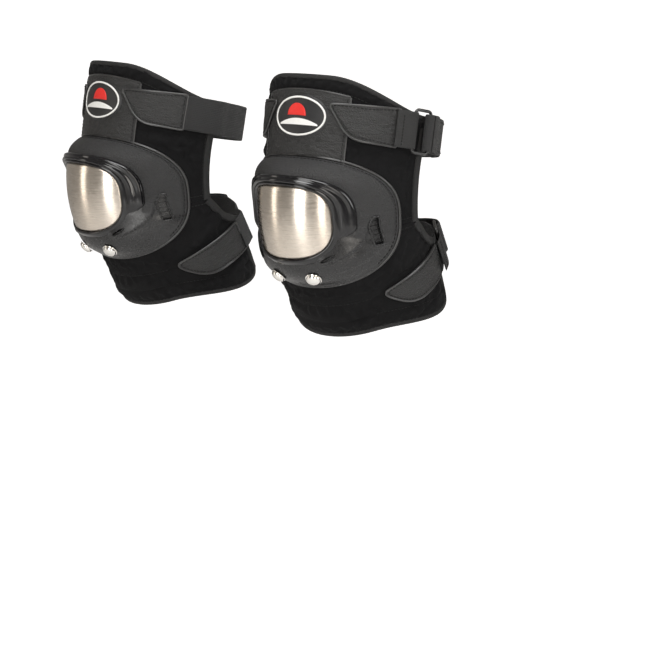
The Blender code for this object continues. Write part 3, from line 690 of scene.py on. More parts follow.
def foam():
    material, nodes = start_material("foam", (0.030, 0.030, 0.032), 0.95, Specular_IOR_Level=0.2)
    space = nodes.place(flat=False)
    pores = nodes.cells(space, 1.1, "F1", 1.0)
    cloud = nodes.noise(space, 0.06, 4.0)
    nodes.tint(cloud, (0.022, 0.022, 0.024), (0.038, 0.038, 0.040))
    nodes.bump(pores, 0.30, 0.9)
    return material


def lining_mesh():
    material, nodes = start_material("lining_mesh", (0.026, 0.026, 0.028), 0.9, Specular_IOR_Level=0.25)
    flat = nodes.place()
    holes = nodes.cells(flat, 0.55, "F1", 0.08)
    open_holes = nodes.span(holes, 0.18, 0.34, 0.0, 1.0)
    nodes.tint(open_holes, (0.008, 0.008, 0.009), (0.034, 0.034, 0.036))
    nodes.bump(open_holes, 0.35, 1.0)
    return material


def rubber(name, low, high, roughness):
    material, nodes = start_material(name, low, roughness, Specular_IOR_Level=0.4)
    space = nodes.place(flat=False)
    nodes.tint(nodes.noise(space, 0.5, 4.0), low, high)
    nodes.rough(nodes.span(nodes.noise(space, 0.9, 3.0), 0.3, 0.7, roughness - 0.06, roughness + 0.08))
    nodes.bump(nodes.noise(space, 1.8, 2.0), 0.05, 0.7)
    return material


def buckle_metal():
    material, nodes = start_material(
        "buckle_metal", (0.012, 0.012, 0.012), 0.3, Coat_Weight=0.4, Coat_Roughness=0.15,
    )
    space = nodes.place(flat=False)
    wear = nodes.noise(space, 0.45, 5.0, 0.7)
    nodes.tint(nodes.span(wear, 0.58, 0.72, 0.0, 1.0), (0.010, 0.010, 0.010), (0.045, 0.044, 0.042))
    nodes.rough(nodes.span(wear, 0.3, 0.7, 0.24, 0.42))
    nodes.bump(wear, 0.04, 0.5)
    return material


def thread():
    material, nodes = start_material("thread", (0.006, 0.006, 0.006), 0.7, Specular_IOR_Level=0.3)
    space = nodes.place(flat=False)
    twist = nodes.noise(space, 3.0, 2.0)
    nodes.tint(twist, (0.003, 0.003, 0.003), (0.010, 0.010, 0.010))
    nodes.bump(twist, 0.10, 0.8)
    return material


def piping_edge():
    material, nodes = start_material("piping_edge", (0.020, 0.020, 0.020), 0.30, Specular_IOR_Level=0.8)
    space = nodes.place(flat=False)
    nodes.tint(nodes.noise(space, 0.3, 3.0), (0.014, 0.014, 0.014), (0.028, 0.028, 0.028))
    nodes.bump(nodes.noise(space, 1.5, 2.0), 0.06, 0.7)
    return material


MATERIALS = {
    "cup": (cup_plastic(), "cup_plastic"),
    "gloss": (gloss_plastic(), "gloss_plastic"),
    "steel": (brushed_steel(), "brushed_steel"),
    "chrome": (chrome(), "chrome"),
    "fabric": (stretch_fabric(), "stretch_fabric"),
    "leather": (leather(), "grained_leather"),
    "binding": (edge_binding(), "edge_binding"),
    "elastic": (elastic(), "elastic"),
    "webbing": (webbing(), "webbing"),
    "hook": (hook_tape(), "hook_tape"),
    "foam": (foam(), "foam"),
    "lining": (lining_mesh(), "lining_mesh"),
    "dark": (rubber("emblem_dark", (0.014, 0.014, 0.015), (0.020, 0.020, 0.021), 0.42), "emblem"),
    "white": (rubber("emblem_white", (0.70, 0.70, 0.68), (0.80, 0.80, 0.78), 0.40), "emblem"),
    "red": (rubber("emblem_red", (0.60, 0.015, 0.012), (0.72, 0.030, 0.022), 0.40), "emblem"),
    "buckle": (buckle_metal(), "buckle_metal"),
    "piping": (piping_edge(), "edge_binding"),
    "thread": (thread(), "edge_binding"),
}


# ---------------------------------------------------------------- placing pieces on both guards

GUARDS = (("left", 1.0), ("right", -1.0))
SIDES = ((-1.0, "inner"), (1.0, "outer"))
# Each wing that meets the cup: its body, its direction from the knee, where the bend ends and starts; only
# the names are read.
BLENDS = {
    "thigh_blend": ("thigh", Vector((0.0, 0.4226, 0.9063)), 54.0, 18.0),
    "shin_blend": ("shin", Vector((0.0, -0.342, 0.9397)), -46.0, -2.0),
}


def guard_matrix(name, side):
    """From a guard's own millimetres to the frame, mirrored for the right guard."""
    hinge = JOINTS[f"shin_flex_{name}"]
    axis = Vector(hinge["axis"])
    place = Matrix.Translation(Vector(hinge["pos_m"]))
    yaw = Matrix.Rotation(math.atan2(axis.y, axis.x), 4, "Z")
    pitch = Matrix.Rotation(math.radians(CUP_PITCH), 4, "X")
    return place @ yaw @ pitch @ Matrix.Diagonal((side * MM, MM, MM, 1.0))


def place_pair(name, data, body, material, nodes=()):
    """The piece on both guards: it rides on its body, or, for a wing that meets the cup, is baked in place
    without one.
    """
    finish, slot = MATERIALS[material]
    for guard, side in GUARDS:
        matrix = guard_matrix(guard, side)
        own = data.copy()
        own.transform(matrix)
        if side < 0.0:
            own.flip_normals()
        piece = add_object(f"{name}_{guard}_look", own)
        own.name = piece.name
        own.materials.clear()
        own.materials.append(finish)
        if body in BLENDS:
            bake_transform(piece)
        else:
            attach(piece, f"{body}_{guard}")
        if nodes:
            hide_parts(*[f"{node}_{guard}" for node in nodes])
    bpy.data.meshes.remove(data)


# ---------------------------------------------------------------- the cup

CUP_TURNS = 220
CUP_ROWS = 46
CUP_SHARP = 35.0
RIM_ROUND = 0.8


def cup_relief(share, turn):
    """Height of the moulded relief on the cup's skirt."""
    side = from_side(turn)
    cheek_edge = mix(0.47, 0.30, smooth(-10.0, -60.0, side))
    cheek = smooth(-3.0, -10.0, side) * (1.0 - smooth(-60.0, -72.0, side))
    height = 2.4 * cheek * (1.0 - smooth(cheek_edge - 0.02, cheek_edge + 0.02, share))
    blade_edge = mix(0.80, 0.62, smooth(-15.0, -65.0, side))
    blade = smooth(-16.0, -24.0, side) * (1.0 - smooth(-60.0, -74.0, side))
    height += 0.8 * blade * (1.0 - smooth(blade_edge - 0.03, blade_edge + 0.03, share))
    flange = smooth(-52.0, -40.0, side)
    height -= 0.75 * flange * smooth(0.915, 0.935, share)
    height += 0.5 * (1.0 - flange) * smooth(0.93, 0.96, share)
    point = skirt_point(share, turn)
    dents = noise.noise(point * 0.045) * 0.9 * (1.0 - smooth(-20.0, 5.0, side))
    return height + dents * math.sin(math.pi * min(1.0, max(0.0, share)))


def cup_mesh():
    """The moulded cup: flange, cheeks below the bezel, vents and a slot."""
    shape = Shape()
    turns = circle(CUP_TURNS)
    outer = []
    inner = []
    for share in (0.9, 0.97):
        outer.append(shape.row([cap_point(share, turn, CAP_DROP) for turn in turns]))
        inner.append(shape.row([cap_point(share, turn, CAP_DROP - CUP_THICKNESS) for turn in turns]))
    for share in spread(0.0, 1.0, CUP_ROWS):
        points = []
        backs = []
        zone = []
        for turn in turns:
            normal = skirt_normal(min(0.99, max(0.01, share)), turn)
            base = skirt_point(share, turn)
            points.append(base + normal * cup_relief(share, turn))
            backs.append(base - normal * CUP_THICKNESS)
            side = from_side(turn)
            grain = smooth(-17.0, -9.0, side + 2.0 * noise.noise(base * 0.3))
            zone.append(grain * smooth(0.30, 0.33, share))
        outer.append(shape.row(points, zone=zone))
        inner.append(shape.row(backs))
    rim = []
    for turn in turns:
        normal = skirt_normal(0.99, turn)
        edge = skirt_point(1.0, turn) - skirt_point(0.97, turn)
        rim.append(skirt_point(1.0, turn) + edge.normalized() * RIM_ROUND - normal * CUP_THICKNESS * 0.5)
    lip = shape.row(rim)
    shape.join(outer + [lip] + list(reversed(inner)), wrap=True, ring=True)
    return shape.mesh(CUP_SHARP)


VENT_OUTLINE = (
    (3.8, 14.4), (-2.9, 14.4), (-7.9, 5.8), (-2.0, -14.0), (8.0, -14.0), (5.0, 2.3),
)
VENT_RADII = (1.6, 1.8, 2.5, 1.4, 1.4, 4.0)
VENT_FLOOR = (-4.9, -3.9)
VENT_RIB_HEIGHTS = (9.2, 4.6, 0.0, -4.6, -9.2)
SLOT_PLACE = (40.0, -21.0)
SLOT_LEAN = math.radians(24.0)
CUT_THROUGH = (-12.0, 12.0)
CUT_SLOT = (-2.2, 8.0)


def prism(outline, matrix, low, high):
    """A straight-sided cutter over an outline."""
    shape = Shape()
    lower = shape.row([matrix @ Vector((x, y, low)) for x, y in outline])
    upper = shape.row([matrix @ Vector((x, y, high)) for x, y in outline])
    shape.join([lower, upper], wrap=True)
    shape.faces.append(tuple(reversed(lower)))
    shape.faces.append(tuple(upper))
    return add_object("cutter", shape.mesh())


def vent_seat(sign):
    return seat_at(sign * VENT_X, VENT_Z)


def vent_outline(sign):
    places = rounded(VENT_OUTLINE, VENT_RADII, spacing=1.0)
    return [(x * sign, y) for x, y in places]


def slot_outline(sign):
    places = []
    for x, y in oval(8.2, 2.0, 24):
        across = x * math.cos(SLOT_LEAN) - y * math.sin(SLOT_LEAN)
        places.append((sign * across, x * math.sin(SLOT_LEAN) + y * math.cos(SLOT_LEAN)))
    return places


def cut_away(data, cutters):
    """The mesh with every cutter taken out of it."""
    body = add_object("body", data)
    for cutter in cutters:
        modifier = body.modifiers.new("cut", "BOOLEAN")
        modifier.operation = "DIFFERENCE"
        modifier.solver = "EXACT"
        modifier.object = cutter
    graph = bpy.context.evaluated_depsgraph_get()
    made = bpy.data.meshes.new_from_object(body.evaluated_get(graph))
    for item in [body] + cutters:
        bpy.data.objects.remove(item, do_unlink=True)
    made.shade_smooth()
    made.set_sharp_from_angle(angle=math.radians(CUP_SHARP))
    return made


def on_cup(place):
    """The point of the cup's face over a place near it, and the face's normal there."""
    share, turn = surface_at(place.x, place.z)
    normal = skirt_normal(share, turn)
    return skirt_point(share, turn) + normal * cup_relief(share, turn), normal


def make_cup():
    """The cup, and behind each vent a ribbed floor and a raised lip round the opening."""
    cutters = []
    for sign, _ in SIDES:
        cutters.append(prism(vent_outline(sign), vent_seat(sign), *CUT_THROUGH))
        slot_seat = seat_at(sign * SLOT_PLACE[0], SLOT_PLACE[1])
        cutters.append(prism(slot_outline(sign), slot_seat, *CUT_SLOT))
    place_pair("cup", cut_away(cup_mesh(), cutters), "knee", "cup", ["knee_shell"])
    for sign, label in SIDES:
        seat = vent_seat(sign)
        shape = Shape()
        wide = [(x * 1.10, y * 1.05) for x, y in vent_outline(sign)]

        def on_seat(x, y, height):
            return seat @ Vector((x, y, height))

        add_outline_pad(shape, wide, on_seat, *VENT_FLOOR, edge=0.3)
        for y in VENT_RIB_HEIGHTS:
            route = [on_seat(x, y, VENT_FLOOR[1] + 0.1) for x in (-7.0, -3.0, 0.0, 3.0, 7.0)]
            add_tube(shape, [(point, seat.to_3x3() @ Z) for point in route], 1.6, 1.4, sides=8)
        lip = [on_cup(on_seat(x, y, 0.0)) for x, y in vent_outline(sign)]
        add_tube(shape, lip, 1.8, 1.6, sides=8, closed=True)
        place_pair(f"cup_vent_{label}", shape.mesh(), "knee", "cup")


def make_cup_edge():
    """Piping round the rim, and its stitches in the flange above and beside the cup."""
    shape = Shape()
    path = []
    for turn in circle(180):
        outward = (rim_point(turn, RIM_OFFSET) - skirt_point(0.9, turn)).normalized()
        angle, along = rim_place(turn)
        path.append((rim_point(turn, RIM_OFFSET - 1.0) + outward * 1.9, leg_normal(angle, along)))
    add_tube(shape, path, 2.7, 2.7, sides=12, closed=True)
    place_pair("cup_piping", shape.mesh(), "knee", "piping", ["shell_piping"])
    stitches = Shape()
    seam = []
    for step in range(-46, 227):
        turn = math.radians(step)
        normal = skirt_normal(0.95, turn)
        seam.append((skirt_point(0.955, turn) - normal * 0.7, normal))
    add_stitches(stitches, seam, pitch=4.2, length=2.8, thread=0.75)
    place_pair("cup_stitching", stitches.mesh(), "knee", "thread")


def bezel_outline(side):
    """Section of the bezel: shares of the skirt and heights over it, thick above, a lip below."""
    full = (
        (-0.015, -0.4), (-0.012, 3.6), (0.0, 4.7), (0.02, 5.4), (0.045, 5.6), (0.07, 5.1), (0.085, 4.7),
        (0.105, 5.6), (0.13, 6.4), (0.16, 6.6), (0.19, 6.1), (0.215, 5.0), (0.235, 4.4), (0.26, 4.5),
        (0.285, 4.5), (0.31, 3.9), (0.33, 2.6), (0.345, 0.8), (0.35, -0.6),
    )
    lip = (
        (-0.015, -0.4), (-0.012, 3.4), (0.0, 4.3), (0.012, 4.6), (0.03, 4.7), (0.045, 4.5), (0.06, 4.2),
        (0.07, 3.9), (0.08, 3.6), (0.09, 3.2), (0.10, 2.9), (0.11, 2.6), (0.12, 2.3), (0.13, 2.0),
        (0.14, 1.7), (0.15, 1.4), (0.16, 1.0), (0.17, 0.5), (0.18, -0.6),
    )
    share = smooth(-24.0, -4.0, side)
    return [(mix(a, c, share), mix(b, d, share)) for (a, b), (c, d) in zip(lip, full)]


def make_bezel():
    """The glossy frame round the cap."""
    shape = Shape()
    rows = []
    for turn in circle(200):
        section = []
        for share, height in bezel_outline(from_side(turn)):
            section.append(skirt_point(share, turn) + skirt_normal(max(0.01, share), turn) * height)
        rows.append(shape.row(section))
    shape.join(rows, wrap=True, ring=True)
    place_pair("cap_bezel", shape.mesh(50.0), "knee", "gloss", ["cap_bezel"])


def disc(u, v):
    """A square's point moved onto a round disc, as a share of its radius and a turn."""
    across = 2.0 * u - 1.0
    up = 2.0 * v - 1.0
    x = across * math.sqrt(1.0 - up * up / 2.0)
    y = up * math.sqrt(1.0 - across * across / 2.0)
    return math.hypot(x, y), math.atan2(y, x)


STEEL_THICKNESS = 1.4
STEEL_ROLL = 1.5


def make_steel():
    """The brushed cap, its edge rolled under."""
    columns, rows = 72, 48

    def at(column, row):
        share, turn = disc(column / columns, row / rows)
        drop = STEEL_ROLL * smooth(0.965, 1.0, share) ** 2
        point = cap_point(share * 0.99, turn, -drop)
        across = math.atan2(point.x, CAP_AXIS_Y - point.y) * CAP_RADIUS
        return point, cap_point(share * 0.98, turn, -STEEL_THICKNESS - drop), (across, point.z)

    shape = Shape()
    shape.slab(*sheets(columns, rows, at))
    place_pair("steel_cap", shape.mesh(70.0), "knee", "steel", ["steel_cap"])


DOME_RADIUS = 7.35
DOME_FOOT = 1.7
DOME_HEIGHT = 4.1


def make_rivets():
    """Domed rivets on thin washers."""
    tail_and_stem = [(0.0, -4.8), (4.4, -4.8), (4.4, -3.9), (2.4, -3.6), (2.4, 0.5)]
    washer = [(8.2, 0.5), (8.35, 0.75), (8.2, 1.0), (7.3, 1.05)]
    profile = tail_and_stem + washer + [(DOME_RADIUS, 1.5)]
    for swing in spread(0.0, math.pi / 2.0, 12)[1:-1]:
        profile.append((DOME_RADIUS * math.cos(swing), DOME_FOOT + DOME_HEIGHT * math.sin(swing)))
    profile.append((0.0, DOME_FOOT + DOME_HEIGHT))
    for sign, label in SIDES:
        shape = Shape()
        add_turned(shape, profile, 40, seat_at(sign * RIVET_X, RIVET_Z))
        place_pair(f"cap_rivet_{label}", shape.mesh(40.0), "knee", "chrome", [f"cap_rivet_{label}"])


PAD_RISE = 0.6
CHANNEL_DEPTH = 2.4


def make_knee_pad():
    """The foam pad behind the cup, crowned between sewn channels on the side next to the knee."""
    columns, rows = 84, 56
    middle = (PAD_INNER + PAD_OUTER) / 2.0

    def at(column, row):
        share, turn = disc(column / columns, row / rows)
        angle, along = rim_place(turn, share * 0.97)
        across = angle * MM_PER_DEGREE
        channel = min(abs(abs(across) - 34.0), abs(along - 24.0) * 1.2, abs(along + 12.0) * 1.2)
        crown = 1.0 - math.exp(-(channel / 4.0) ** 2)
        inner = PAD_INNER - PAD_RISE + CHANNEL_DEPTH * (1.0 - crown)
        edge = 1.0 - smooth(0.90, 1.0, share) ** 2
        top = leg_point(angle, along, mix(middle, PAD_OUTER, edge))
        return top, leg_point(angle, along, mix(middle, inner, edge)), (across, along)

    shape = Shape()
    shape.slab(*sheets(columns, rows, at))
    place_pair("knee_pad", shape.mesh(60.0), "knee", "foam", ["knee_pad"])


# ---------------------------------------------------------------- wings

def thigh_top(angle):
    return mix(THIGH_TOP_FRONT, THIGH_TOP_SIDE, smooth(20.0, 90.0, abs(angle)))


def under_cup(angle, reach):
    """How far a wing's flap rises from the side seam's line, under the cup."""
    across = min(1.0, abs(angle) / 44.0)
    return reach * (1.0 - across ** CUP_SQUARENESS) ** (1.0 / CUP_SQUARENESS)


def thigh_bottom(angle):
    return under_cup(angle, 30.0)


def shin_top(angle):
    if abs(angle) <= SHIN_EDGE_TOP_ANGLE:
        return -0.4 - under_cup(angle, 14.0)
    share = (abs(angle) - SHIN_EDGE_TOP_ANGLE) / (SHIN_EDGE_ANGLE - SHIN_EDGE_TOP_ANGLE)
    return mix(-0.4, -45.0, share ** 0.55)


def shin_bottom(angle):
    low = mix(SHIN_BOTTOM_FRONT, SHIN_BOTTOM_SIDE, smooth(40.0, 115.0, abs(angle)))
    corner = max(0.0, abs(angle) - 117.0) / 10.0
    return low + 14.0 * (1.0 - math.sqrt(1.0 - min(1.0, corner) ** 2))


def ridge(distance, width):
    return math.exp(-(distance / width) ** 2)


def thigh_slack(angle, along):
    """How free the thigh's fabric is: 0 on a seam or under something, 1 between them."""
    side = abs(angle)
    free = smooth(1.04, 1.20, rim_share(angle, along))
    free *= smooth(34.0, 40.0, side) * (1.0 - smooth(81.0, 85.0, side))
    free *= smooth(0.0, 6.0, along) * (1.0 - smooth(58.0, 66.0, along))
    band = smooth(0.0, 4.0, thigh_top(angle) - along) * (1.0 - smooth(9.0, 13.0, thigh_top(angle) - along))
    return max(free, band * (1.0 - smooth(84.0, 90.0, side)))


def shin_slack(angle, along):
    side = abs(angle)
    free = smooth(1.03, 1.16, rim_share(angle, along)) * smooth(0.0, 5.0, -0.4 - along)
    free *= smooth(0.0, 7.0, abs(along + 52.0) + 0.35 * max(0.0, side - 44.0))
    free *= smooth(2.0, 8.0, along - shin_bottom(angle)) * (1.0 - smooth(116.0, 122.0, side))
    tab = smooth(48.0, 56.0, side) * smooth(-86.0, -80.0, along) * (1.0 - smooth(-48.0, -42.0, along))
    edge = smooth(0.0, 8.0, shin_top(angle) - along)
    return free * (1.0 - tab) * edge


def thigh_relief(angle, along):
    """Sewn form of the thigh wing's outer face, before the fabric is simulated."""
    top = thigh_top(angle) - along
    height = 1.1 * smooth(0.0, 5.0, top) * (1.0 - smooth(9.0, 13.0, top)) - 0.5 * ridge(top - 13.6, 1.0)
    seam = smooth(1.0, 1.05, rim_share(angle, along))
    return height + seam * (0.5 * ridge(along - 1.2, 1.0) - 0.25 * ridge(along - 4.6, 0.8))


def shin_relief(angle, along):
    side = abs(angle)
    hem = along - shin_bottom(angle)
    height = 1.3 * smooth(0.0, 5.0, hem) * (1.0 - smooth(11.0, 17.0, hem)) - 0.6 * ridge(hem - 18.0, 1.3)
    front = 1.0 - smooth(48.0, 60.0, side)
    height += front * (0.9 * ridge(along + 52.0, 1.1) - 0.3 * ridge(along + 56.0, 1.0))
    tuck = smooth(70.0, 84.0, side) * (1.0 - smooth(112.0, 124.0, side))
    return height - 0.9 * tuck * ridge(along + 96.0, 2.0)


class Wing(namedtuple("Wing", "name limit low high slack relief columns rows")):
    """One wing: its outline, the places where its fabric is held, and its grid."""

    def place(self, column, row):
        angle = self.limit * (2.0 * column / self.columns - 1.0)
        return angle, mix(self.low(angle), self.high(angle), row / self.rows)

    def places(self):
        """Every place of the grid, row by row."""
        return [self.place(column, row) for row in range(self.rows + 1) for column in range(self.columns + 1)]

    def outer_point(self, angle, along):
        flap = 1.0 - smooth(0.96, 1.03, rim_share(angle, along))
        return leg_point(angle, along, mix(WRAP_OUTER + self.relief(angle, along), FLAP_OUTER, flap))

    def inner_offset(self, angle, along, inner):
        flap = 1.0 - smooth(0.965, 1.01, rim_share(angle, along))
        return mix(inner, FLAP_INNER, flap)


THIGH = Wing("thigh", THIGH_EDGE_ANGLE, thigh_bottom, thigh_top, thigh_slack, thigh_relief, 132, 52)
SHIN = Wing("shin", SHIN_EDGE_ANGLE, shin_bottom, shin_top, shin_slack, shin_relief, 168, 52)
FABRIC_RISE = 2.6
FABRIC_SINK = -1.0
FABRIC_SLIDE = 1.4
CLOTH_FRAMES = 20


def fabric_sheet(wing):
    """The wing's outer fabric as a pinned cloth with a little spare cloth between its seams."""
    points = []
    slack = []
    for angle, along in wing.places():
        free = wing.slack(angle, along)
        slack.append(free)
        wrinkle = noise.noise(Vector((angle * 0.16, along * 0.10, 3.0))) * 0.7
        points.append((wing.outer_point(angle, along) + leg_normal(angle, along) * wrinkle * free) * MM)
    width = wing.columns + 1
    faces = []
    for row in range(wing.rows):
        for start in range(row * width, row * width + wing.columns):
            faces.append((start, start + 1, start + 1 + width, start + width))
    data = bpy.data.meshes.new(wing.name)
    data.from_pydata(points, [], faces)
    sheet = add_object(f"{wing.name}_cloth", data)
    pins = sheet.vertex_groups.new(name="held")
    for index, free in enumerate(slack):
        pins.add([index], 1.0 - free, "REPLACE")
    cloth = sheet.modifiers.new("cloth", "CLOTH")
    cloth.settings.quality = 6
    cloth.settings.mass = 0.15
    cloth.settings.tension_stiffness = 12.0
    cloth.settings.compression_stiffness = 12.0
    cloth.settings.shear_stiffness = 6.0
    cloth.settings.bending_stiffness = 0.6
    cloth.settings.shrink_min = -0.07
    cloth.settings.use_pressure = True
    cloth.settings.uniform_pressure_force = 2.5
    cloth.settings.effector_weights.gravity = 0.0
    cloth.settings.vertex_group_mass = "held"
    cloth.collision_settings.use_self_collision = False
    return sheet


def simulate(wings):
    """Settles every wing's fabric and returns how far each of its points moved, in millimetres."""
    sheets_of_cloth = [fabric_sheet(wing) for wing in wings]
    scene = bpy.context.scene
    for step in range(1, CLOTH_FRAMES + 1):
        scene.frame_set(step)
    graph = bpy.context.evaluated_depsgraph_get()
    moved = []
    for wing, sheet in zip(wings, sheets_of_cloth):
        settled = sheet.evaluated_get(graph).to_mesh()
        shifts = []
        for (angle, along), vertex in zip(wing.places(), settled.vertices):
            normal = leg_normal(angle, along)
            shift = vertex.co / MM - wing.outer_point(angle, along)
            rise = max(FABRIC_SINK, min(FABRIC_RISE, shift.dot(normal)))
            slide = shift - normal * shift.dot(normal)
            if slide.length > FABRIC_SLIDE:
                slide *= FABRIC_SLIDE / slide.length
            shifts.append(normal * rise + slide)
        moved.append(shifts)
        sheet.evaluated_get(graph).to_mesh_clear()
    for sheet in sheets_of_cloth:
        bpy.data.objects.remove(sheet, do_unlink=True)
    scene.frame_set(1)
    return moved


def make_wing(wing, shifts, nodes):
    """The wing's padded fabric, and its quilted lining on the side next to the leg."""

    def at(column, row):
        angle, along = wing.place(column, row)
        quilt = 0.35 * math.cos(angle * MM_PER_DEGREE * 0.35) * math.cos(along * 0.35)
        lining = wing.inner_offset(angle, along, LINING_INNER + 0.3) + quilt * 0.5 - 0.3
        return (
            wing.outer_point(angle, along) + shifts[row * (wing.columns + 1) + column],
            leg_point(angle, along, wing.inner_offset(angle, along, WRAP_INNER)),
            leg_point(angle, along, wing.inner_offset(angle, along, LINING_OUTER) - 0.1),
            leg_point(angle, along, lining),
            (angle * MM_PER_DEGREE, along),
        )

    top, bottom, lining_top, lining_bottom, flat = sheets(wing.columns, wing.rows, at)
    shape = Shape()
    shape.slab(top, bottom, flat)
    blend = f"{wing.name}_blend"
    place_pair(f"{wing.name}_wing", shape.mesh(60.0), blend, "fabric", nodes)
    lining = Shape()
    lining.slab(lining_top, lining_bottom, flat)
    area = 0.0
    for near, far in zip(lining_top, lining_top[1:]):
        for a, b, c in zip(near, near[1:], far):
            area += (b - a).cross(c - a).length
    heights = [wing.high(angle) - wing.low(angle) for angle in (0.0, wing.limit - 33.0)]
    place_pair(
        f"{wing.name}_lining", lining.mesh(60.0), blend, "lining",
        [f"{wing.name}_lining"],
    )


def edge_path(places, radius, offset, spacing=2.0):
    """Points and normals of a line through (angle, along) places on the leg, its corners rounded."""
    corners = [(angle * MM_PER_DEGREE, along) for angle, along in places]
    path = []
    for x, along in rounded(corners, [radius] * len(corners), closed=False, spacing=spacing):
        angle = x / MM_PER_DEGREE
        path.append((leg_point(angle, along, offset), leg_normal(angle, along)))
    return path


def add_seam(shape, places, radius, offset):
    """Stitches along a line through (angle, along) places on the leg."""
    add_stitches(shape, edge_path(places, radius, offset, spacing=1.0))


EDGE_TAPE_INSET = 2.2


def make_bindings():
    """Folded tape over the wings' back edges, and a narrower fold along each hem."""
    middle = (WRAP_INNER + WRAP_OUTER) / 2.0
    limit = THIGH_EDGE_ANGLE - EDGE_TAPE_INSET
    shape = Shape()
    for sign in (-1.0, 1.0):
        side = [(sign * limit, along) for along in spread(-0.6, thigh_top(limit), 12)]
        add_tube(shape, edge_path(side, 3.0, middle), 8.6, 6.4, sides=20, squareness=4.0)
    top = []
    for step in range(61):
        angle = THIGH_EDGE_ANGLE * (1.0 - step / 30.0)
        top.append((angle, thigh_top(angle) - 1.0))
    add_tube(shape, edge_path(top, 3.0, middle), 5.0, 6.2, sides=20, squareness=3.4)
    place_pair("thigh_binding", shape.mesh(60.0), "thigh_blend", "binding", ["thigh_binding"])

    shape = Shape()
    for sign in (-1.0, 1.0):
        places = [(sign * limit, -0.8)]
        for angle in spread(97.0, SHIN_EDGE_ANGLE - 2.5, 8):
            places.append((sign * angle, shin_top(angle) - 3.2))
        places.append((sign * (SHIN_EDGE_ANGLE - 2.5), -110.0))
        add_tube(shape, edge_path(places, 4.0, middle), 8.2, 6.4, sides=20, squareness=4.0)
    hem = []
    for step in range(81):
        angle = (SHIN_EDGE_ANGLE - 1.0) * (1.0 - step / 40.0)
        hem.append((angle, shin_bottom(angle) + 1.2))
    add_tube(shape, edge_path(hem, 3.0, middle), 5.4, 6.4, sides=20, squareness=3.4)
    place_pair("shin_binding", shape.mesh(60.0), "shin_blend", "binding", ["shin_binding"])


def panel_top(angle):
    return PANEL_TOP - 4.0 * (abs(angle) / PANEL_HALF_ANGLE) ** 2


def panel_low(angle):
    """The panel's lower edge, hidden under the cup's flange."""
    across = (abs(angle) / 70.0) ** CUP_SQUARENESS
    return CUP_MIDDLE + CUP_HALF_LENGTH * 0.80 * (1.0 - across) ** (1.0 / CUP_SQUARENESS)


def make_panel():
    """The grained panel over the front of the thigh, with piped seams at its sides and top."""
    columns, rows = 96, 72

    def at(column, row):
        angle = PANEL_HALF_ANGLE * (2.0 * column / columns - 1.0)
        along = mix(panel_low(angle), panel_top(angle), row / rows)
        border = min(1.0, min(row, rows - row) / 5.0, min(column, columns - column) / 4.0)
        crease = noise.noise(Vector((angle * 0.07 + along * 0.05, along * 0.11, 7.0)))
        fine = noise.noise(Vector((angle * 0.22, along * 0.55 + angle * 0.1, 1.0)))
        height = PANEL_OUTER + 0.8 * border * (0.5 + 0.9 * crease + 0.6 * fine)
        flap = 1.0 - smooth(0.98, 1.03, rim_share(angle, along))
        top = leg_point(angle, along, mix(height, FLAP_OUTER + 0.35, flap))
        bottom = leg_point(angle, along, mix(PANEL_INNER - 0.6, FLAP_OUTER - 0.3, flap))
        return top, bottom, (angle * MM_PER_DEGREE, along)

    shape = Shape()
    shape.slab(*sheets(columns, rows, at))
    place_pair("thigh_panel", shape.mesh(60.0), "thigh_blend", "leather", ["thigh_panel"])


def make_thigh_seams():
    """Piping round the panel, and the stitches of the panel, the back edges and the hem."""
    piping = Shape()
    stitches = Shape()
    for sign in (-1.0, 1.0):
        edge_angle = sign * (PANEL_HALF_ANGLE + 0.6)
        edge = [(edge_angle, along) for along in spread(40.0, panel_top(PANEL_HALF_ANGLE), 8)]
        add_tube(piping, edge_path(edge, 2.0, PANEL_OUTER - 0.2), 1.7, 1.7, sides=10)
        add_seam(stitches, [(angle - sign * 2.0, along) for angle, along in edge], 2.0, PANEL_OUTER + 0.35)
    top_line = [(angle, panel_top(angle) + 0.5) for angle in range(-34, 35, 2)]
    add_tube(piping, edge_path(top_line, 2.0, PANEL_OUTER - 0.4), 1.6, 1.6, sides=10)
    place_pair("panel_piping", piping.mesh(), "thigh_blend", "piping")
    for sign in (-1.0, 1.0):
        back = [(sign * (THIGH_EDGE_ANGLE - 6.2), along) for along in spread(2.0, 100.0, 10)]
        add_seam(stitches, back, 2.0, WRAP_OUTER + 1.3)
        add_seam(stitches, [(sign * angle, 4.4) for angle in range(76, 88, 2)], 1.0, WRAP_OUTER + 0.2)
    hem = [(angle, thigh_top(angle) - 13.6) for angle in range(-84, 85, 3)]
    add_seam(stitches, hem, 2.0, WRAP_OUTER + 0.1)
    place_pair("thigh_stitching", stitches.mesh(), "thigh_blend", "thread")


def make_shin_seams():
    """The stitches of the front's cross seam, the hem, the back edges and the side seams."""
    stitches = Shape()
    add_seam(stitches, [(angle, -55.0) for angle in range(-46, 47, 2)], 1.0, WRAP_OUTER + 0.1)
    hem = [(angle, shin_bottom(angle) + 18.0) for angle in range(-104, 105, 3)]
    add_seam(stitches, hem, 1.0, WRAP_OUTER - 0.2)
    for sign in (-1.0, 1.0):
        line = []
        for angle in spread(94.0, SHIN_EDGE_ANGLE - 7.0, 8):
            line.append((sign * angle, shin_top(angle + 1.0) - 9.0))
        add_seam(stitches, line, 3.0, WRAP_OUTER + 1.2)
        add_seam(stitches, [(sign * angle, -4.6) for angle in range(76, 93, 2)], 1.0, WRAP_OUTER + 0.1)
    place_pair("shin_stitching", stitches.mesh(), "shin_blend", "thread")


# ---------------------------------------------------------------- emblem

def emblem_point(x, y, height):
    """A point over the emblem's middle, from places in millimetres on the patch."""
    radius = leg_radius(EMBLEM_Z) + PATCH_OUTER
    return leg_point(math.degrees(x / radius), EMBLEM_Z + y, height)


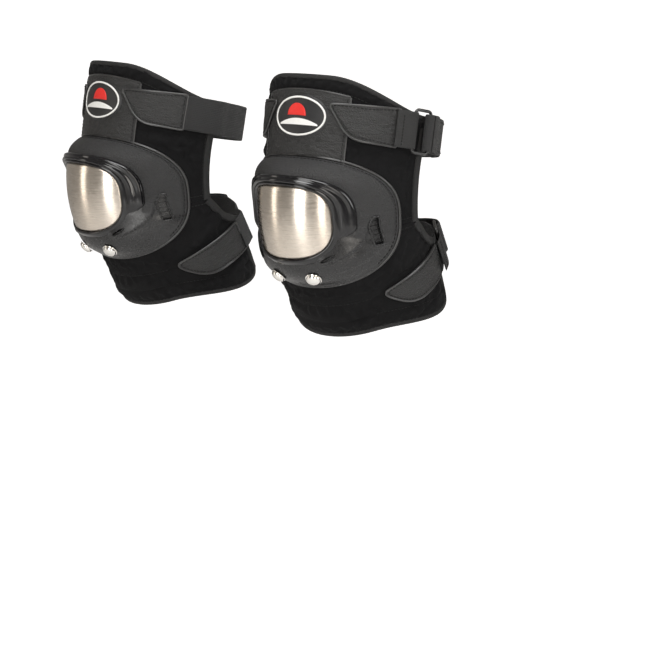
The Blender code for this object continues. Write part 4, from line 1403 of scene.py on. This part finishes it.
PATCH_HALF_WIDTH, PATCH_HALF_HEIGHT = 34.0, 21.5
HILL_REACH = 23.5
INLAY_BOTTOM, INLAY_TOP = PATCH_OUTER - 0.8, PATCH_OUTER + 0.4


def make_emblem():
    """An oval rubber patch: a white ring round a plain red half disc over a white hill."""
    base = Shape()
    outline = oval(PATCH_HALF_WIDTH, PATCH_HALF_HEIGHT, 96)
    add_outline_pad(base, outline, emblem_point, PATCH_INNER, PATCH_OUTER - 0.3, edge=0.9, rings=10)
    place_pair("emblem_patch", base.mesh(), "thigh", "dark", ["emblem_patch"])
    ring_shape = Shape()
    path = []
    for x, y in oval(30.6, 18.4, 96):
        angle = math.degrees(x / (leg_radius(EMBLEM_Z) + PATCH_OUTER))
        path.append((emblem_point(x, y, PATCH_OUTER - 0.3), leg_normal(angle, EMBLEM_Z + y)))
    add_tube(ring_shape, path, 1.9, 1.3, sides=12, closed=True, squareness=3.0)
    place_pair("emblem_ring", ring_shape.mesh(), "thigh", "white")
    sun = [(11.5 * math.cos(turn) - 2.0, 12.0 * math.sin(turn) + 0.4) for turn in spread(0.0, math.pi, 24)]
    hill = []
    for x in spread(-HILL_REACH, HILL_REACH, 30):
        hill.append((x, -2.2 - 5.2 * (x / HILL_REACH) ** 2))
    for x in spread(HILL_REACH, -HILL_REACH, 30):
        out = (x / HILL_REACH) ** 2
        hill.append((x, -6.4 - 2.4 * out - 2.2 * (1.0 - out)))
    for name, outline, colour in (("emblem_sun", sun, "red"), ("emblem_hill", hill, "white")):
        inlay = Shape()
        add_outline_pad(inlay, outline, emblem_point, INLAY_BOTTOM, INLAY_TOP, edge=0.5)
        place_pair(name, inlay.mesh(), "thigh", colour)


# ---------------------------------------------------------------- tabs, straps and buckles

STRAP_THICKNESS = 1.8
STRAP_RIBS = 20
RIB_HEIGHT = 0.14
STRAP_OFFSET = 2.4
WEBBING_THICKNESS = 1.2
BUCKLE_WIRE = 1.6
BUCKLE_CORNER = 4.2
FOLD_CLEARANCE = 2.0
HOOK_THICKNESS = 0.9
LOOP_OFFSET = 9.6
REAR_BAR_OFFSET = 12.0
BINDING_ANGLE = 4.5


# Where one strap and its buckle run round the leg; the last five are angles from the front.
StrapLine = namedtuple(
    "StrapLine",
    "name wing along half_width lift tab tab_radii loop_start front_bar rear_bar wing_edge tail_end",
)
UPPER = StrapLine(
    "upper", "thigh", 86.0, 18.0, 0.8,
    ((21.0, 101.0), (67.5, 104.5), (67.5, 67.5), (36.0, 68.5)), (5.0, 2.0, 2.0, 14.0),
    67.6, 78.0, 90.0, THIGH_EDGE_ANGLE, 150.0,
)
LOWER = StrapLine(
    "lower", "shin", -62.0, 17.0, 2.2,
    ((53.0, -52.5), (114.5, -43.0), (118.5, -80.0), (74.0, -79.5)), (8.0, 3.0, 4.0, 20.0),
    119.0, 130.0, 144.0, SHIN_EDGE_ANGLE, 184.0,
)


def tab_point(x, along, height):
    return leg_point(x / MM_PER_DEGREE, along, height)


def make_tabs(line):
    """Leather tabs with piped edges and a row of stitches inside the piping."""
    corners = [(angle * MM_PER_DEGREE, along) for angle, along in line.tab]
    outline = rounded(corners, line.tab_radii, spacing=1.6)
    middle = Vector((sum(x for x, _ in outline) / len(outline), sum(y for _, y in outline) / len(outline)))
    inset = []
    for place in outline:
        away = Vector(place) - middle
        inset.append(middle + away - away.normalized() * 3.0)

    def face(x, y, height):
        wave = noise.noise(Vector((x * 0.05, y * 0.16, 2.0 + line.along)))
        return tab_point(x, y, height + 0.55 * wave)

    for sign, label in reversed(SIDES):
        name = f"{line.name}_tab_{label}"
        mirrored = [(x * sign, y) for x, y in outline]
        pad = Shape()
        add_outline_pad(pad, mirrored, face, TAB_INNER - 0.8, TAB_OUTER, edge=1.3, crown=0.5, rings=14)
        place_pair(name, pad.mesh(60.0), line.wing, "leather", [name])
        piping = Shape()
        path = [(tab_point(x, y, TAB_OUTER - 0.7), leg_normal(x / MM_PER_DEGREE, y)) for x, y in mirrored]
        add_tube(piping, path, 2.3, 2.3, sides=12, closed=True)
        place_pair(f"{line.name}_tab_piping_{label}", piping.mesh(), line.wing, "piping")
        stitches = Shape()
        path = []
        for x, y in inset:
            path.append((face(x * sign, y, TAB_OUTER + 0.15), leg_normal(x * sign / MM_PER_DEGREE, y)))
        add_stitches(stitches, path, closed=True)
        place_pair(f"{line.name}_tab_stitching_{label}", stitches.mesh(), line.wing, "thread")


def flat_place(line, angle, offset):
    """A place in the strap's own plane."""
    turn = math.radians(angle)
    return (leg_radius(line.along) + offset) * Vector((math.sin(turn), math.cos(turn)))


def add_ribbon(shape, line, route, half_width, thickness, ribs=0, rib_height=0.0):
    """A flat strip on a route in the strap's plane, its faces ribbed along its length."""
    centre, direction, front = leg_frame(line.along)
    rows = []
    run = 0.0
    across_count = max(8, ribs * 4)
    for index, place in enumerate(route):
        before = route[max(0, index - 1)]
        after = route[min(len(route) - 1, index + 1)]
        along = (after - before).normalized()
        normal = Vector((along.y, -along.x))
        run += (place - route[max(0, index - 1)]).length
        section = []
        flat = []
        for face in (1.0, -1.0):
            for step in range(across_count + 1):
                share = step / across_count
                if face < 0.0:
                    share = 1.0 - share
                across = half_width * (2.0 * share - 1.0)
                edge = 1.0 - smooth(0.955, 1.0, abs(2.0 * share - 1.0)) * 0.75
                rib = rib_height * math.cos(2.0 * math.pi * ribs * share) if ribs else 0.0
                spot = place + normal * face * (thickness / 2.0 * edge + rib * edge)
                section.append(centre + X * spot.x + front * spot.y + direction * across)
                flat.append((across, run))
        rows.append(shape.row(section, flat))
    shape.join(rows, wrap=True)
    shape.faces.append(tuple(rows[0]))
    shape.faces.append(tuple(reversed(rows[-1])))


def fold_route(line, bar_angle, bar_offset, radius, opens, steps=14):
    """A half turn round a bar; opens is +1 where the strip leaves backwards."""
    bar = flat_place(line, bar_angle, bar_offset)
    outward = bar.normalized()
    backward = Vector((outward.y, -outward.x))
    route = []
    for swing in spread(0.0, math.pi, steps):
        inward = outward * (radius * math.cos(swing))
        route.append(bar - inward - backward * (opens * radius * math.sin(swing)))
    return route


def rear_fold():
    return BUCKLE_WIRE + FOLD_CLEARANCE + STRAP_THICKNESS / 2.0


def back_offset():
    return STRAP_OFFSET + STRAP_THICKNESS / 2.0


def make_webbing_loop(line):
    """Ribbed webbing sewn to the outer tab and folded round the buckle's front bar."""
    fold = BUCKLE_WIRE + 0.5 + WEBBING_THICKNESS / 2.0
    middle = LOOP_OFFSET + line.lift
    ahead, back = [], []
    for angle in spread(line.loop_start - 3.0, line.front_bar - 1.0, 8):
        ahead.append(flat_place(line, angle, middle - fold))
    for angle in spread(line.front_bar - 1.0, line.loop_start - 3.0, 8):
        back.append(flat_place(line, angle, middle + fold))
    for step, place in enumerate(back):
        place -= place.normalized() * (1.4 * smooth(3.0, 8.0, step))
    shape = Shape()
    route = ahead + fold_route(line, line.front_bar, middle, fold, -1.0)[1:-1] + back
    add_ribbon(shape, line, route, line.half_width, WEBBING_THICKNESS, ribs=12, rib_height=0.10)
    name = f"{line.name}_webbing_loop"
    place_pair(name, shape.mesh(60.0), line.wing, "webbing", [name])
    stitches = Shape()
    _, direction, _ = leg_frame(line.along)
    reach = line.half_width - 2.0
    for angle in (line.loop_start + 1.2, line.loop_start + 3.4):
        start = leg_point(angle, line.along, middle + fold - 0.1)
        normal = leg_normal(angle, line.along)
        path = [(start + direction * across, normal) for across in spread(-reach, reach, 19)]
        add_stitches(stitches, path, pitch=3.0, length=2.2)
    place_pair(f"{line.name}_webbing_stitching", stitches.mesh(), line.wing, "thread")


def make_strap(line):
    """Elastic strap from the inner tab, behind the leg and round the buckle's rear bar."""
    fold = rear_fold()
    bar_offset = REAR_BAR_OFFSET + line.lift
    over = WRAP_OUTER + 2.2 + line.lift
    start = 360.0 - line.loop_start + 3.0
    edge = 360.0 - line.wing_edge - BINDING_ANGLE
    places = [flat_place(line, angle, over) for angle in spread(start, edge, 4)]
    places[0] = flat_place(line, start, over - 0.5)
    first, last = edge - 9.0, line.rear_bar + 14.0
    steps = max(4, int((first - last) / 10.0))
    for step in range(steps + 1):
        sway = 0.35 * math.sin(2.3 * step)
        places.append(flat_place(line, mix(first, last, step / steps), back_offset() + sway))
    places.append(flat_place(line, line.rear_bar + 7.0, mix(back_offset(), bar_offset - fold, 0.7)))
    route = smooth_route(places, 5) + fold_route(line, line.rear_bar, bar_offset, fold, 1.0)
    shape = Shape()
    add_ribbon(shape, line, route, line.half_width, STRAP_THICKNESS, ribs=STRAP_RIBS, rib_height=RIB_HEIGHT)
    place_pair(f"{line.name}_strap", shape.mesh(60.0), line.wing, "elastic", [f"{line.name}_strap"])


def make_tail(line):
    """The folded-back end with its hook tape."""
    fold = rear_fold()
    high = REAR_BAR_OFFSET + line.lift + fold
    resting = back_offset() + STRAP_THICKNESS + HOOK_THICKNESS + 0.8
    places = [
        flat_place(line, line.rear_bar + 0.7, high),
        flat_place(line, line.rear_bar + 4.0, high - 0.6),
        flat_place(line, line.rear_bar + 10.0, mix(high, resting, 0.45)),
        flat_place(line, line.rear_bar + 16.0, mix(high, resting, 0.9)),
    ]
    steps = max(3, int((line.tail_end - line.rear_bar - 20.0) / 9.0))
    for angle in spread(line.rear_bar + 20.0, line.tail_end, steps):
        places.append(flat_place(line, angle, resting))
    shape = Shape()
    route = smooth_route(places, 5)
    add_ribbon(shape, line, route, line.half_width, STRAP_THICKNESS, ribs=STRAP_RIBS, rib_height=RIB_HEIGHT)
    body = f"{line.name}_tail"
    name = f"{line.name}_strap_tail"
    place_pair(name, shape.mesh(60.0), body, "elastic", [name])
    hook = Shape()
    offset = resting - STRAP_THICKNESS / 2.0 - 0.3 - HOOK_THICKNESS / 2.0
    angles = spread(line.rear_bar + 23.0, line.tail_end - 2.0, 20)
    route = [flat_place(line, angle, offset) for angle in angles]
    add_ribbon(hook, line, route, line.half_width - 2.0, HOOK_THICKNESS)
    name = f"{line.name}_hook_patch"
    place_pair(name, hook.mesh(60.0), body, "hook", [name])
    stitches = Shape()
    _, direction, _ = leg_frame(line.along)
    for rise in (-1.0, 1.0):
        path = []
        for angle in spread(line.rear_bar + 23.0, line.tail_end - 2.5, 29):
            point = leg_point(angle, line.along, resting + STRAP_THICKNESS / 2.0 + 0.1)
            path.append((point + direction * rise * (line.half_width - 3.5), leg_normal(angle, line.along)))
        add_stitches(stitches, path)
    place_pair(f"{line.name}_tail_stitching", stitches.mesh(), body, "thread")


def make_buckle(line):
    """A wire buckle with round corners."""
    _, direction, _ = leg_frame(line.along)
    front = leg_point(line.front_bar, line.along, LOOP_OFFSET + line.lift)
    rear = leg_point(line.rear_bar, line.along, REAR_BAR_OFFSET + line.lift)
    half = line.half_width + 1.2 + BUCKLE_WIRE
    across = (rear - front).length
    outward = leg_normal((line.front_bar + line.rear_bar) / 2.0, line.along)
    run = (rear - front).normalized()
    corners = ((0.0, half), (across, half), (across, -half), (0.0, -half))
    outline = rounded(corners, [BUCKLE_CORNER] * 4, spacing=1.0)
    path = [(front + run * x + direction * y, outward) for x, y in outline]
    shape = Shape()
    add_tube(shape, path, 2.0 * BUCKLE_WIRE, 2.0 * BUCKLE_WIRE, sides=16, closed=True)
    name = f"{line.name}_buckle"
    place_pair(name, shape.mesh(60.0), name, "buckle", [name])


# ---------------------------------------------------------------- floor, lights and camera

FLOOR_Z = -0.50
VIEW_AZIMUTH = math.radians(47.0)
VIEW_ELEVATION = math.radians(6.5)
VIEW_DISTANCE = 2.6
PHOTO_WIDTH_M = 0.650
AIM_RIGHT, AIM_DOWN = 0.075, 0.128
SENSOR_MM = 36.0
GUARDS_BEFORE_AIM = 0.104
FLOOR_REACH = 3.0
SWEEP_RADIUS = 2.0


def make_stage():
    """A pale floor that curves up into a backdrop on every side."""
    shape = Shape()
    rows = []
    profile = [(0.02, 0.0), (1.0, 0.0), (FLOOR_REACH, 0.0)]
    for swing in spread(0.0, math.pi / 2.0, 12)[1:]:
        rise = SWEEP_RADIUS - SWEEP_RADIUS * math.cos(swing)
        profile.append((FLOOR_REACH + SWEEP_RADIUS * math.sin(swing), rise))
    profile.append((5.0, 5.0))
    for radius, height in profile:
        rows.append(shape.row(ring(radius, FLOOR_Z + height, 64)))
    shape.join(rows, wrap=True)
    shape.faces.append(tuple(rows[0]))
    floor = add_object("floor", shape.mesh())
    material, nodes = start_material("pale_floor", (0.86, 0.86, 0.86), 0.9)
    nodes.tint(nodes.noise(nodes.place(flat=False), 0.004, 2.0), (0.85, 0.85, 0.85), (0.88, 0.88, 0.88))
    seen = nodes.node("ShaderNodeLightPath").outputs["Is Camera Ray"]
    nodes.link(nodes.math("MULTIPLY", seen, 0.85), nodes.shader.inputs["Emission Strength"])
    nodes.shader.inputs["Emission Color"].default_value = (1.0, 1.0, 1.0, 1.0)
    floor.data.materials.append(material)


def add_light(name, place, target, width, height, power, colour):
    light = bpy.data.lights.new(name, "AREA")
    light.shape = "RECTANGLE"
    light.size = width
    light.size_y = height
    light.energy = power
    light.color = colour
    lamp = add_object(name, light)
    lamp.location = place
    lamp.rotation_euler = (Vector(target) - Vector(place)).to_track_quat("-Z", "Y").to_euler()


def make_lights():
    add_light("key", (0.56, -1.35, 0.30), (0.0, 0.0, 0.0), 0.5, 1.5, 10.0, (1.0, 0.99, 0.97))
    add_light("top", (0.45, -0.25, 1.5), (0.0, 0.0, 0.0), 1.2, 0.8, 22.0, (1.0, 1.0, 1.0))
    add_light("side", (1.9, 0.7, 0.5), (0.1, 0.0, 0.0), 0.8, 1.2, 14.0, (1.0, 1.0, 1.0))
    add_light("soft", (1.5, -0.75, 0.25), (0.0, 0.0, 0.0), 0.35, 1.3, 6.0, (1.0, 0.95, 0.88))
    add_light("left", (-0.95, -1.3, 0.2), (0.0, 0.0, 0.0), 0.3, 1.3, 3.0, (1.0, 0.93, 0.84))
    world = bpy.data.worlds.new("studio")
    bpy.context.scene.world = world
    world.use_nodes = True
    tree = world.node_tree
    background = tree.nodes["Background"]
    background.inputs["Color"].default_value = (0.97, 0.90, 0.81, 1.0)
    background.inputs["Strength"].default_value = 0.24
    bpy.context.scene.view_settings.view_transform = "Standard"


def make_camera():
    camera = add_object("camera", bpy.data.cameras.new("camera"))
    camera.data.sensor_width = SENSOR_MM
    camera.data.lens = SENSOR_MM * (VIEW_DISTANCE - GUARDS_BEFORE_AIM) / PHOTO_WIDTH_M
    across = Vector((math.cos(VIEW_AZIMUTH), math.sin(VIEW_AZIMUTH), 0.0))
    back = Vector((
        math.sin(VIEW_AZIMUTH) * math.cos(VIEW_ELEVATION), -math.cos(VIEW_AZIMUTH) * math.cos(VIEW_ELEVATION),
        math.sin(VIEW_ELEVATION),
    ))
    up = back.cross(across)
    target = across * AIM_RIGHT - up * AIM_DOWN
    camera.location = back * VIEW_DISTANCE
    camera.rotation_euler = (target - camera.location).to_track_quat("-Z", "Y").to_euler()
    bpy.context.scene.camera = camera


def main():
    make_camera()
    make_stage()
    make_lights()
    make_cup()
    make_cup_edge()
    make_bezel()
    make_steel()
    make_rivets()
    make_knee_pad()
    wings = (THIGH, SHIN)
    moved = simulate(wings)
    make_wing(THIGH, moved[0], ["thigh_wrap"])
    make_wing(SHIN, moved[1], ["shin_wrap"])
    make_bindings()
    make_panel()
    make_thigh_seams()
    make_shin_seams()
    make_emblem()
    for line in (UPPER, LOWER):
        make_tabs(line)
        make_webbing_loop(line)
        make_strap(line)
        make_tail(line)
        make_buckle(line)


main()
